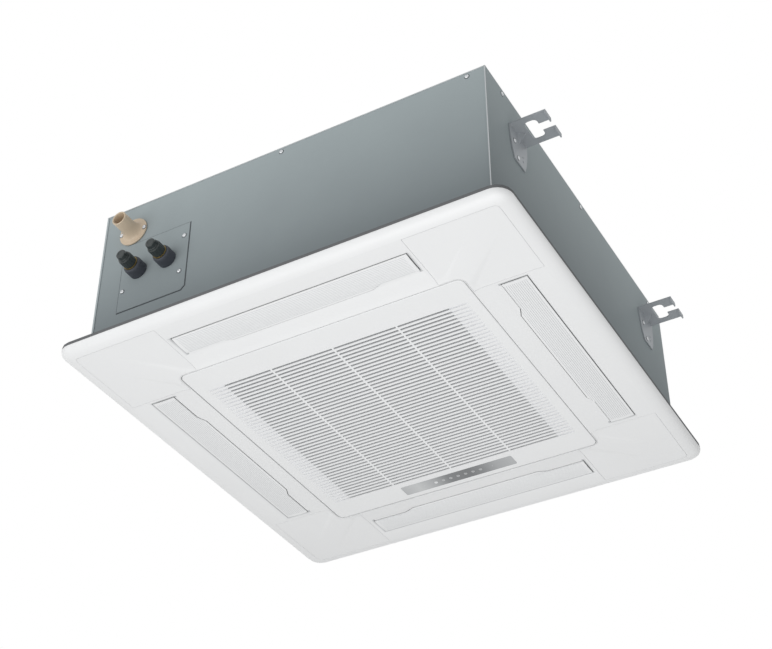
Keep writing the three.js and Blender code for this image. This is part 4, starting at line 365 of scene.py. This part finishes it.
def screw_head():
    """One pan head that stands on its washer."""
    profile = [(r, h + WASHER_THICKNESS) for r, h in SCREW_HEAD]
    head = lathe(profile, (0, 0, 0), (0, 0, 1), SCREW_STEPS)
    for long, wide in ((RECESS_REACH, RECESS_HALF), (RECESS_HALF, RECESS_REACH)):
        corners = [(-long, -wide), (long, -wide), (long, wide), (-long, wide)]
        floor = [(u * RECESS_TAPER, v * RECESS_TAPER, RECESS_FLOOR) for u, v in corners]
        head = carved(head, prism(floor, [(u, v, RECESS_TOP) for u, v in corners]))
    return head


HEAD = as_mesh("screw_head", screw_head())
RING = as_mesh("washer", lathe(WASHER, (0, 0, 0), (0, 0, 1), SCREW_STEPS))


def screws(name, node, spots):
    """Screws with washers at [(x, y, z), outward direction] in millimetres."""
    for label, shape, metal in ((name, HEAD, screw_zinc), (name + "_washers", RING, shaded_washer_steel)):
        whole = bmesh.new()
        for i, (place, out) in enumerate(spots):
            placed = shape.copy()
            spin = Matrix.Rotation(i * SCREW_TURN, 4, "Z")
            tilt = Vector(out).to_track_quat("Z", "Y").to_matrix().to_4x4()
            placed.transform(Matrix.Translation(Vector(place) * MM) @ tilt @ spin)
            whole.from_mesh(placed)
            bpy.data.meshes.remove(placed)
        add_piece(label, whole, metal, node)


BODY_HALF = 430
PIPE_FACE = 428.5
OUTWARD = (0, -1, 0)
EDGE_SCREWS = [(332, (-392, -11, 392)), (329, (-360, 0, 360))]
for quarter, node in enumerate(["side_panel_pipe", "side_panel_right", "side_panel_rear",
                                "side_panel_left"]):
    face = PIPE_FACE if quarter % 2 == 0 else BODY_HALF
    turn = Matrix.Rotation(quarter * pi / 2, 3, "Z")
    z, places = EDGE_SCREWS[quarter % 2]
    screws("edge_screws_" + node, node,
           [(turn @ Vector((x, -face, z)), turn @ Vector(OUTWARD)) for x in places])

PLATE_FACE = -430
PLATE_SCREWS = [(-227, 209), (-231, 121), (-366, 123), (-366, 209)]
screws("cover_plate_screws", "pipe_cover_plate",
       [((x, PLATE_FACE, z), OUTWARD) for x, z in PLATE_SCREWS])

# ---------------------------------------------------------------------------
# A dark strip, cut to the pipe cover plate's outline and laid under its edge, is a
# painted shadow line that shows as a thin dark line round the plate.

PLASTIC_TONES = (9, 3)
PLASTIC_GLOSS = (45, 2)
PLASTIC_GLOSS_RANGE = 0.1
SPARK_GRAIN = (2600, 1)
PLASTIC_EDGE = 0.0006


def moulded(name, color, shade, roughness, grain=GRAIN_DEPTH, edge=PLASTIC_EDGE, shade_depths=()):
    """Plastic, rubber or foam: two close tones, an uneven gloss, a fine grain and soft
    edges. The shade_depths are masks of x, y and z, each with the grey of a painted
    shade, laid one after another."""
    look = Look(name)
    tone = look.blend(look.noise(*PLASTIC_TONES), color, shade)
    for mask, grey in shade_depths:
        tone = look.blend(mask(look, *look.axes()), tone, grey)
    look.feed("Base Color", tone)
    gloss = look.noise(*PLASTIC_GLOSS)
    look.feed("Roughness", roughness - PLASTIC_GLOSS_RANGE / 2 + PLASTIC_GLOSS_RANGE * gloss)
    look.feed("Normal", look.bump(look.noise(*SPARK_GRAIN), grain, look.soft_edges(edge)))
    return look.material


PLATE_LEFT, PLATE_RIGHT, PLATE_BASE, PLATE_TOP = -374, -216, 73, 239
PLATE_CHAMFER = 8
CHAMFER_GROWTH = 0.6
SHADOW_STRIP_OUT = 1.8
SHADOW_STRIP_IN = 9
SHADOW_STRIP_Y = (-428.5, -428.95)
SHADOW_STRIP_CUT_PAST = 1


def plate_outline(grow, y):
    """The plate's outline, larger by so much, at a distance in front of the casing."""
    x0, x1, z0, z1 = (PLATE_LEFT - grow, PLATE_RIGHT + grow, PLATE_BASE - grow, PLATE_TOP + grow)
    cut = PLATE_CHAMFER + grow * CHAMFER_GROWTH
    return [(x0, y, z0), (x1 - cut, y, z0), (x1, y, z0 + cut), (x1, y, z1), (x0 + cut, y, z1),
            (x0, y, z1 - cut)]


# painted shadow: this dark strip stands for the shadow line round the cover plate
shadow_strip_dark = moulded("shadow_strip_dark", linear(92, 96, 100), linear(84, 88, 92), 0.9)
shadow_strip_rim = prism(plate_outline(SHADOW_STRIP_OUT, SHADOW_STRIP_Y[0]), plate_outline(SHADOW_STRIP_OUT, SHADOW_STRIP_Y[1]))
shadow_strip_hole = prism(plate_outline(-SHADOW_STRIP_IN, SHADOW_STRIP_Y[0] + SHADOW_STRIP_CUT_PAST),
                  plate_outline(-SHADOW_STRIP_IN, SHADOW_STRIP_Y[1] - SHADOW_STRIP_CUT_PAST))
add_piece("cover_plate_shadow_strip", carved(shadow_strip_rim, shadow_strip_hole), shadow_strip_dark, "pipe_cover_plate")

# ---------------------------------------------------------------------------
# The four hanger brackets are of galvanised sheet, each pressed in one piece and
# held by two screws through its foot. The end plates of the coil, the motor
# bracket and the control box are of the same sheet.

BRACKETS = {"right_front": (-302, 1), "right_rear": (326, 1), "left_front": (-302, -1),
            "left_rear": (326, -1)}
BRACKET_EDGE = 0.0004
FOOT_FACE = 432.8
FOOT_SCREWS = [(20, 240), (8, 205)]

galvanised = sheet_metal("galvanised", linear(190, 195, 199), linear(174, 179, 184), 0.46, 0.1,
                         Specular_IOR_Level=0.1)


def merged(node):
    """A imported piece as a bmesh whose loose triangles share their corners."""
    bm = bmesh.new()
    bm.from_mesh(frame["nodes"][node].data)
    bmesh.ops.remove_doubles(bm, verts=bm.verts, dist=MERGE)
    return bm


for corner, (y, side) in BRACKETS.items():
    node = "hanger_bracket_" + corner
    add_piece(node + "_fine", merged(node), galvanised, node, [node], sharp=30,
              bevel=BRACKET_EDGE)
    screws("bracket_screws_" + corner, node,
           [((side * FOOT_FACE, y - side * across, z), (side, 0, 0))
            for across, z in FOOT_SCREWS])
dress(galvanised, "coil_end_plate_front", "coil_end_plate_left", "coil_partition",
      "motor_bracket", "control_box", "control_box_cover")

# ---------------------------------------------------------------------------
# The drain spigot is one moulding of cream plastic with a deep fillet into its
# flange. Two screws hold it, and the pump's hose slips on its tail inside. The
# pump's wheel and the float switch are of the same plastic.

DRAIN = (-357, -PIPE_FACE, 273)
FLANGE_FACE = 3.8
FLANGE_SCREW = 27.5
SPIGOT = [(7.4, -24), (9.4, -24), (9.4, -8.7), (16, -4.5), (16, 0.3), (31.7, 0.3), (32.5, 1.1),
          (32.5, 3), (31.7, FLANGE_FACE), (25, FLANGE_FACE), (21.6, 5), (19.2, 8), (17.4, 13),
          (16.3, 19), (16, 24), (16, 49.6), (15.4, 50.3), (13.7, 50.3), (13.1, 49.6), (12.6, 20),
          (7.4, -9), (7.4, -24)]

cream_plastic = moulded("cream_plastic", linear(222, 204, 180), linear(213, 194, 169), 0.42)


def refine(material, *nodes, sharp=SHARP):
    """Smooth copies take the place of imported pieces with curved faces."""
    for node in nodes:
        add_piece(node + "_fine", merged(node), material, node, [node], sharp)


add_piece("drain_spigot_fine", lathe(SPIGOT, DRAIN, OUTWARD), cream_plastic, "drain_spigot",
          ["drain_spigot"])
screws("spigot_screws", "drain_spigot",
       [((DRAIN[0] + side * FLANGE_SCREW, DRAIN[1] - FLANGE_FACE, DRAIN[2]), OUTWARD)
        for side in (-1, 1)])
dress(cream_plastic, "pump_impeller", "float_stem")
refine(cream_plastic, "float")

# ---------------------------------------------------------------------------
# The two copper lines end in a brass flare nut each, which shows as a band
# between a soft dark sleeve, slipped over the pipe, and a ribbed black shipping
# cap, moulded with a tear-off tab and pressed on.

PIPE_X = {"liquid": -331, "gas": -262}
PIPE_Z = 162
SLEEVE = [(14, 1.8), (18.9, 1.8), (19.5, 2.4), (19.5, 20.5), (19.2, 23), (18.4, 25.2),
          (17.4, 26.3), (16.4, 26.8), (14, 26.8), (14, 1.8)]
NUT_BAND = [(0, 27.1), (14.4, 27.1), (14.8, 27.5), (14.8, 29.1), (14.4, 29.5), (0, 29.5)]
CAP = [(0, 29.8), (14, 29.8), (14, 31.1), (13.9, 31.3), (13.9, 39), (13.9, 47.5), (13.6, 48.1),
       (12.4, 49), (12, 49.6), (12, 51.6), (11.6, 52), (11, 52.2), (10.6, 52.8), (10.6, 58.6),
       (9.9, 60.2), (8.4, 60.8), (5.6, 60.8), (5.2, 60.2), (0, 60.2)]
CAP_GRIP = (31.2, 47.6)
CAP_RIB = 0.55
CAP_RIBS = 18
CAP_STEPS = 4 * CAP_RIBS
TAB_ACROSS = (9, 13.2)
TAB_ALONG = (49, 59.5)
TAB_HALF = 2.2

slate_rubber = moulded("slate_rubber", linear(68, 72, 81), linear(59, 63, 71), 0.62, 0.00006)
black_plastic = moulded("black_plastic", linear(50, 58, 58), linear(40, 46, 47), 0.42)
brass = sheet_metal("brass", linear(158, 138, 90), linear(132, 114, 72), 0.34, 1.0)
copper = sheet_metal("copper", linear(200, 128, 92), linear(176, 106, 74), 0.32, 1.0)


def gathered(shapes):
    """Several shapes as one."""
    whole = bmesh.new()
    for shape in shapes:
        mesh = bpy.data.meshes.new("gathered")
        shape.to_mesh(mesh)
        shape.free()
        whole.from_mesh(mesh)
        bpy.data.meshes.remove(mesh)
    return whole


def ribbed_cap(x):
    """A shipping cap with lengthwise ribs and a tear-off tab beside its tip."""
    cap = lathe(CAP, (x, -PIPE_FACE, PIPE_Z), OUTWARD, CAP_STEPS)
    for vert in cap.verts:
        across = Vector((vert.co.x / MM - x, 0, vert.co.z / MM - PIPE_Z))
        out = -vert.co.y / MM - PIPE_FACE
        if CAP_GRIP[0] < out < CAP_GRIP[1]:
            turn = atan2(across.z, across.x)
            rise = CAP_RIB * max(0.0, cos(CAP_RIBS * turn))
            vert.co += across.normalized() * rise * MM
    inner, outer = [x + reach for reach in TAB_ACROSS]
    low, high = PIPE_Z - TAB_HALF, PIPE_Z + TAB_HALF
    corners = [(inner, low), (outer, low), (outer, high), (inner, high)]
    tab = prism(*[[(u, -PIPE_FACE - out, v) for u, v in corners] for out in TAB_ALONG])
    return gathered([cap, tab])


for line, x in PIPE_X.items():
    origin = (x, -PIPE_FACE, PIPE_Z)
    sleeve, nut, cap = line + "_pipe_sleeve", line + "_flare_nut", line + "_pipe_cap"
    add_piece(sleeve + "_fine", lathe(SLEEVE, origin, OUTWARD), slate_rubber, sleeve, [sleeve])
    add_piece(nut + "_fine", lathe(NUT_BAND, origin, OUTWARD), brass, nut)
    add_piece(cap + "_fine", ribbed_cap(x), black_plastic, cap, [cap])
dress(brass, "liquid_flare_nut", "gas_flare_nut")
dress(copper, "gas_pipe", "liquid_pipe")

# ---------------------------------------------------------------------------
# Inside the casing stand the liner and the drain pan of moulded foam, a coil of
# copper tubes with aluminium fins, the moulded turbo fan on its motor, the bell
# mouth, and the drain pump with its rubber hose.

FOAM_GRAIN = 0.0002
FIN_PITCH = 1.6
FIN_DEPTH = 0.0006
FIN_ROUGHNESS = 0.36
FIN_GLOSS = (60, 2)
FIN_GLOSS_RANGE = 0.1
FACES_SIDEWAYS = 0.7

pale_foam = moulded("pale_foam", linear(222, 222, 216), linear(212, 212, 205), 0.9, FOAM_GRAIN)
dress(pale_foam, "insulation_liner", "drain_pan")
dark_foam = moulded("dark_foam", linear(116, 118, 120), linear(107, 109, 111), 0.95, FOAM_GRAIN)
refine(dark_foam, "panel_gasket")
dress(black_plastic, "drain_pump", "louver_motor_right", "louver_motor_rear",
      "louver_motor_left", "louver_motor_pipe")
refine(slate_rubber, "pump_hose", sharp=60)
steel = sheet_metal("steel", linear(186, 189, 192), linear(168, 172, 175), 0.28, 1.0)
refine(steel, "motor_shaft")
dress(steel, "fan_nut")
refine(galvanised, "fan_motor")


def sawtooth(look, value, pitch):
    """Rises from nought to one and falls again, once in each pitch in millimetres."""
    return look.math("PINGPONG", value, pitch * MM / 2) / (pitch * MM / 2)


def finned():
    """Aluminium fins that stand upright, side by side along the coil, with painted shade in the
    gaps between them.
    """
    look = Look("aluminium_fins", Metallic=0.85)
    x, y, _ = look.axes()
    facing = look.node("ShaderNodeNewGeometry", {}, {}, "Normal")
    across = look.node("ShaderNodeSeparateXYZ", {}, [facing]).socket.node.outputs[0]
    sideways = look.math("GREATER_THAN", abs(Wire(look, across)), FACES_SIDEWAYS)
    fin_relief_and_shade = sawtooth(look, x + sideways * (y - x), FIN_PITCH)
    # painted shade: the dark tone of each stripe stands for the gap between two fins
    look.feed("Base Color", look.blend(fin_relief_and_shade, linear(120, 124, 128), linear(206, 210, 213)))
    look.feed("Roughness", FIN_ROUGHNESS + FIN_GLOSS_RANGE * look.noise(*FIN_GLOSS))
    look.feed("Normal", look.bump(fin_relief_and_shade, FIN_DEPTH))
    return look.material


refine(finned(), "heat_exchanger")
fan_plastic = moulded("fan_plastic", linear(176, 178, 180), linear(168, 170, 172), 0.5)
refine(fan_plastic, "fan_impeller", "bell_mouth")

# ---------------------------------------------------------------------------
# The decoration panel is one white moulding with a rounded rim, screwed up under
# the casing, and four corner covers of the same plastic snap over its screws. All
# have a satin gloss and a fine spark-eroded grain.

WHITE = linear(235, 236, 237), linear(232, 233, 234)
WHITE_ROUGHNESS = 0.4
OUTLET_INNER = 352
OUTLET_OUTER = 405
OUTLET_END = 248
OUTLET_REACH = 440
WALL_SHADE_HEIGHTS = (-20.8, -19.4)
THROAT_SHADE_HEIGHTS = (-15, -10)


def between(look, value, low, high):
    """One inside a band of sizes, given in millimetres, and nought outside it."""
    above = look.math("GREATER_THAN", abs(value), low * MM)
    return above * look.math("LESS_THAN", abs(value), high * MM)


def fade(look, value, start, end):
    """Rises from nought to one between two places, given in millimetres."""
    return look.node("ShaderNodeMapRange", {},
                     {"Value": value, "From Min": start * MM, "From Max": end * MM})


def far_and_near(look, x, y):
    """The larger and the smaller distance from the unit's middle planes."""
    return [look.math(choice, abs(x), abs(y)) for choice in ("MAXIMUM", "MINIMUM")]


def outlet_wall_shade(look, x, y, z):
    """Painted shade on the outer walls and the ends of the outlets, close behind their edge."""
    far, near = far_and_near(look, x, y)
    wall = look.math("MAXIMUM", between(look, far, OUTLET_OUTER, OUTLET_REACH),
                     between(look, near, OUTLET_END, OUTLET_REACH))
    return wall * fade(look, z, *WALL_SHADE_HEIGHTS) * between(look, far, OUTLET_INNER, OUTLET_REACH)


def outlet_throat_shade(look, x, y, z):
    """Painted shade on all that lies deep in the outlets."""
    inside = between(look, x, 0, OUTLET_REACH) * between(look, y, 0, OUTLET_REACH)
    return fade(look, z, *THROAT_SHADE_HEIGHTS) * inside


white_plastic = moulded("white_plastic", *WHITE, WHITE_ROUGHNESS)
# painted shade greys the panel's outlet walls and throats
panel_plastic = moulded("panel_plastic", *WHITE, WHITE_ROUGHNESS,
                        shade_depths=[(outlet_wall_shade, linear(180, 182, 184)),
                                (outlet_throat_shade, linear(150, 152, 154))])
refine(panel_plastic, "panel_frame")
refine(white_plastic, "corner_cover_right_rear", "corner_cover_left_rear",
       "corner_cover_left_front", "corner_cover_right_front")

# ---------------------------------------------------------------------------
# The four louvers are arched blades of white plastic, moulded with fine grooves
# along their visible face. Each turns on two pins in the ends of its outlet.

LOUVER_INNER = 350
LOUVER_WIDTH = 58
LOUVER_MIDDLE = LOUVER_INNER + LOUVER_WIDTH / 2
LOUVER_EDGE = -20.4
LOUVER_SAG = 1.4
LOUVER_PLASTIC_EDGE = 0.0002
GROOVES = 13
GROOVE_PITCH = 3.9
GROOVE_HALF = 0.9
GROOVE_DEPTH = 0.5
GROOVE_END = 243
GROOVE_MARGIN = 4
GROOVE_BACK = -19.5
STEP_WIDTH = 11
STEP_END = 140
CUT_PAST = 0.1


def blade_face(r):
    """The height of the arched face at a distance from the unit's middle."""
    along = (r - LOUVER_INNER) / LOUVER_WIDTH
    return LOUVER_EDGE - 4 * LOUVER_SAG * along * (1 - along)


def grooves():
    """V-shaped cutters along the blade on the +X side, short where its inner edge steps."""
    cuts = []
    for i in range(GROOVES):
        r = LOUVER_MIDDLE + GROOVE_PITCH * (i - (GROOVES - 1) / 2)
        z = blade_face(r)
        end = GROOVE_END if r > LOUVER_INNER + STEP_WIDTH else STEP_END
        section = [(r - GROOVE_HALF, z - CUT_PAST), (r, z + GROOVE_DEPTH),
                   (r + GROOVE_HALF, z - CUT_PAST)]
        cuts.append(prism([(u, -end, w) for u, w in section], [(u, end, w) for u, w in section]))
    return gathered(cuts)


def groove_shade(look, x, y, z):
    """Painted shade along the grooves of the blade's visible side."""
    far, near = far_and_near(look, x, y)
    off = look.math("PINGPONG", far - LOUVER_MIDDLE * MM, GROOVE_PITCH * MM / 2)
    field = between(look, far, LOUVER_INNER + GROOVE_MARGIN,
                    LOUVER_INNER + LOUVER_WIDTH - GROOVE_MARGIN)
    field = field * look.math("LESS_THAN", near, GROOVE_END * MM)
    field = field * look.math("LESS_THAN", z, GROOVE_BACK * MM)
    return field * fade(look, off, GROOVE_HALF, GROOVE_HALF / 3)


def turned(bm, quarter):
    """The shape turned by so many quarter turns about the unit's upright axis."""
    bmesh.ops.rotate(bm, verts=bm.verts, cent=(0, 0, 0),
                     matrix=Matrix.Rotation(quarter * pi / 2, 3, "Z"))
    return bm


# painted shade greys the floors of the blade's grooves
louver_plastic = moulded("louver_plastic", *WHITE, WHITE_ROUGHNESS, edge=LOUVER_PLASTIC_EDGE,
                         shade_depths=[(groove_shade, linear(207, 209, 211))])
for quarter, side in enumerate(["right", "rear", "left", "pipe"]):
    node = "louver_" + side
    blade = carved(merged(node), turned(grooves(), quarter))
    add_piece(node + "_fine", blade, louver_plastic, node, [node], sharp=20)

# ---------------------------------------------------------------------------
# The intake grille is a white moulding with slots between deep bars, which run out
# on both sides in short ramps. It hangs on two hinge pins, and the filter, a
# woven mesh in a grey frame, slides in behind it.

GRILLE_FACE = -25
GRILLE_EDGE = 0.0003
FIELD_HALF = 245
RAMP_END = 285
RAMP_STEPS = [(FIELD_HALF, CUT_PAST), (FIELD_HALF, -2.6), (RAMP_END - 5, -1.5),
              (RAMP_END, CUT_PAST)]
SLOT_PITCH = 10.6
SLOT_HALF = 2.4
SLOT_ROWS = 46
SHADE_PAST = 0.5
SLOT_SHADE = (GRILLE_FACE + 0.3, GRILLE_FACE + 2.4)
RAMP_SHADE = (GRILLE_FACE + 0.2, GRILLE_FACE + 1.2)


def ramps():
    """Cutters that let each row of slots run out towards both sides."""
    cuts = []
    for i in range(SLOT_ROWS):
        y = SLOT_PITCH * (i - (SLOT_ROWS - 1) / 2)
        for side in (-1, 1):
            section = [(side * u, GRILLE_FACE - w) for u, w in RAMP_STEPS]
            cuts.append(prism([(u, y - SLOT_HALF, w) for u, w in section],
                              [(u, y + SLOT_HALF, w) for u, w in section]))
    return gathered(cuts)


def slot_wall_shade(look, x, y, z):
    """Painted shade between the bars."""
    field = [between(look, axis, 0, FIELD_HALF + SHADE_PAST) for axis in (x, y)]
    return field[0] * field[1] * fade(look, z, *SLOT_SHADE)


def ramp_floor_shade(look, x, y, z):
    """Painted shade in the ramps beside the slots."""
    beside = between(look, x, FIELD_HALF + SHADE_PAST, RAMP_END)
    return beside * between(look, y, 0, FIELD_HALF + SHADE_PAST) * fade(look, z, *RAMP_SHADE)


# painted shade greys the slot walls and the ramp floors of the grille
grille_plastic = moulded("grille_plastic", *WHITE, WHITE_ROUGHNESS, edge=GRILLE_EDGE,
                         shade_depths=[(slot_wall_shade, linear(215, 217, 219)),
                                 (ramp_floor_shade, linear(229, 230, 232))])
add_piece("intake_grille_fine", carved(merged("intake_grille"), ramps()), grille_plastic,
          "intake_grille", ["intake_grille"], sharp=30)

grey_plastic = moulded("grey_plastic", linear(150, 152, 154), linear(142, 144, 146), 0.6)
dress(grey_plastic, "air_filter", "grille_catch_left", "grille_catch_right")

MESH_Z = (-16.4, -16.1)
MESH_HALF = 241
THREAD_PITCH = 1.4
THREAD_DEPTH = 0.0003


def woven():
    """A plain weave of grey threads."""
    look = Look("filter_weave", Roughness=0.8)
    x, y, _ = look.axes()
    cloth = sawtooth(look, x, THREAD_PITCH) * sawtooth(look, y, THREAD_PITCH)
    look.feed("Base Color", look.blend(cloth, linear(94, 96, 99), linear(128, 130, 133)))
    look.feed("Normal", look.bump(cloth, THREAD_DEPTH))
    return look.material


flat = [(-MESH_HALF, -MESH_HALF), (MESH_HALF, -MESH_HALF), (MESH_HALF, MESH_HALF),
        (-MESH_HALF, MESH_HALF)]
mesh_sheet = prism(*[[(u, v, z) for u, v in flat] for z in MESH_Z])
add_piece("filter_mesh", mesh_sheet, woven(), "air_filter")

# ---------------------------------------------------------------------------
# The display strip is a glossy clear lens, pale at its ends and dark in its middle,
# clipped into the grille. It carries round printed marks, a small dot at each
# end and a push button, and its circuit board lies behind it.

STRIP_HALF = 130
STRIP_Y = 274.5
STRIP_TONES = [(0.0, (186, 188, 190)), (0.14, (202, 204, 205)), (0.28, (176, 178, 180)),
               (0.42, (130, 132, 134)), (0.6, (120, 122, 124)), (0.72, (138, 140, 142)),
               (0.84, (168, 170, 172)), (1.0, (184, 186, 188))]
LENS_COAT = 0.6
LENS_COAT_ROUGHNESS = 0.08
LENS_ROUGHNESS = 0.18
LENS_GLOSS = (30, 2)
LENS_GLOSS_RANGE = 0.06
INK_BASE = 0.02
INK_TOP = 0.06
MARK_PLACES = range(-2, 4)
MARK_PITCH = 17.5
MARK_RING = [(2.3, INK_BASE), (2.3, INK_TOP), (3.3, INK_TOP), (3.3, INK_BASE), (2.3, INK_BASE)]
MARK_DOT = [(0.9, INK_BASE), (0.9, INK_TOP), (0, INK_TOP)]
MARK_STEPS = 24
MARK_GRAIN = 0.00001
LAMP_DOT = [(0.8, INK_BASE), (0.8, INK_TOP), (0, INK_TOP)]
LAMP_X = 80
LAMP_STEPS = 16
DOWN = (0, 0, -1)


def strip_lens():
    """A clear lens, pale at its ends and dark in its middle."""
    look = Look("strip_lens", Coat_Weight=LENS_COAT, Coat_Roughness=LENS_COAT_ROUGHNESS)
    x = look.axes()[0]
    stops = [(place, linear(*tone)) for place, tone in STRIP_TONES]
    tones = look.node("ShaderNodeValToRGB", {"stops": stops},
                      [(x + STRIP_HALF * MM) / (2 * STRIP_HALF * MM)])
    look.feed("Base Color", tones)
    look.feed("Roughness", LENS_ROUGHNESS + LENS_GLOSS_RANGE * look.noise(*LENS_GLOSS))
    return look.material


refine(strip_lens(), "display_strip")
pale_mark = moulded("pale_mark", linear(226, 228, 229), linear(220, 222, 223), 0.4, MARK_GRAIN)
refine(pale_mark, "manual_button")
marks = [lathe(profile, (MARK_PITCH * place, STRIP_Y, GRILLE_FACE), DOWN, MARK_STEPS)
         for place in MARK_PLACES for profile in (MARK_RING, MARK_DOT)]
marks += [lathe(LAMP_DOT, (x, STRIP_Y, GRILLE_FACE), DOWN, LAMP_STEPS) for x in (-LAMP_X, LAMP_X)]
add_piece("display_marks", gathered(marks), pale_mark, "display_strip")
board = moulded("board", linear(60, 112, 76), linear(50, 100, 66), 0.5)
dress(board, "display_board")

# ---------------------------------------------------------------------------
# The studio: a white surround that lights evenly, a large soft lamp on the
# camera's side, another one below the unit, and a pale paper floor far beneath it.

WORLD_LIGHT = 0.48
world = bpy.data.worlds.new("studio")
bpy.context.scene.world = world
world.use_nodes = True
sky = world.node_tree
background = sky.nodes["Background"]
background.inputs["Color"].default_value = (1, 1, 1, 1)
rays = sky.nodes.new("ShaderNodeLightPath")
direct = rays.outputs["Is Camera Ray"]
for kind in ("Is Glossy Ray", "Is Transmission Ray"):
    either = sky.nodes.new("ShaderNodeMath")
    either.operation = "MAXIMUM"
    sky.links.new(direct, either.inputs[0])
    sky.links.new(rays.outputs[kind], either.inputs[1])
    direct = either.outputs[0]
strength = sky.nodes.new("ShaderNodeMapRange")
sky.links.new(direct, strength.inputs["Value"])
strength.inputs["To Min"].default_value = WORLD_LIGHT
strength.inputs["To Max"].default_value = 1.0
sky.links.new(strength.outputs["Result"], background.inputs["Strength"])


def soft_lamp(name, place, target, width, power):
    """A square soft lamp that faces a point, in metres and watts."""
    data = bpy.data.lights.new(name, "AREA")
    data.shape = "SQUARE"
    data.size = width
    data.energy = power
    lamp = bpy.data.objects.new(name, data)
    bpy.context.scene.collection.objects.link(lamp)
    lamp.location = place
    lamp.rotation_euler = (Vector(target) - Vector(place)).to_track_quat("-Z", "Y").to_euler()


soft_lamp("key", place=(-1.4, -3.0, -0.6), target=(0, 0, 0.1), width=2.4, power=31)
soft_lamp("under", place=(0.3, -0.6, -2.2), target=(0, 0, 0), width=2.2, power=34)

FLOOR_LEVEL = -3.8
FLOOR_WIDTH = 32
PAPER_CLOUD = (3, 2)
PAPER_TONES = linear(238, 238, 237), linear(234, 234, 233)
paper = Look("floor_paper", Roughness=0.9)
paper.feed("Base Color", paper.blend(paper.noise(*PAPER_CLOUD), *PAPER_TONES))
bm = bmesh.new()
bmesh.ops.create_grid(bm, x_segments=1, y_segments=1, size=FLOOR_WIDTH / 2)
bmesh.ops.translate(bm, verts=bm.verts, vec=(0, 0, FLOOR_LEVEL))
floor_mesh = bpy.data.meshes.new("floor")
bm.to_mesh(floor_mesh)
bm.free()
floor_mesh.materials.append(paper.material)
floor = bpy.data.objects.new("floor", floor_mesh)
bpy.context.scene.collection.objects.link(floor)

bpy.context.scene.view_settings.view_transform = "Standard"
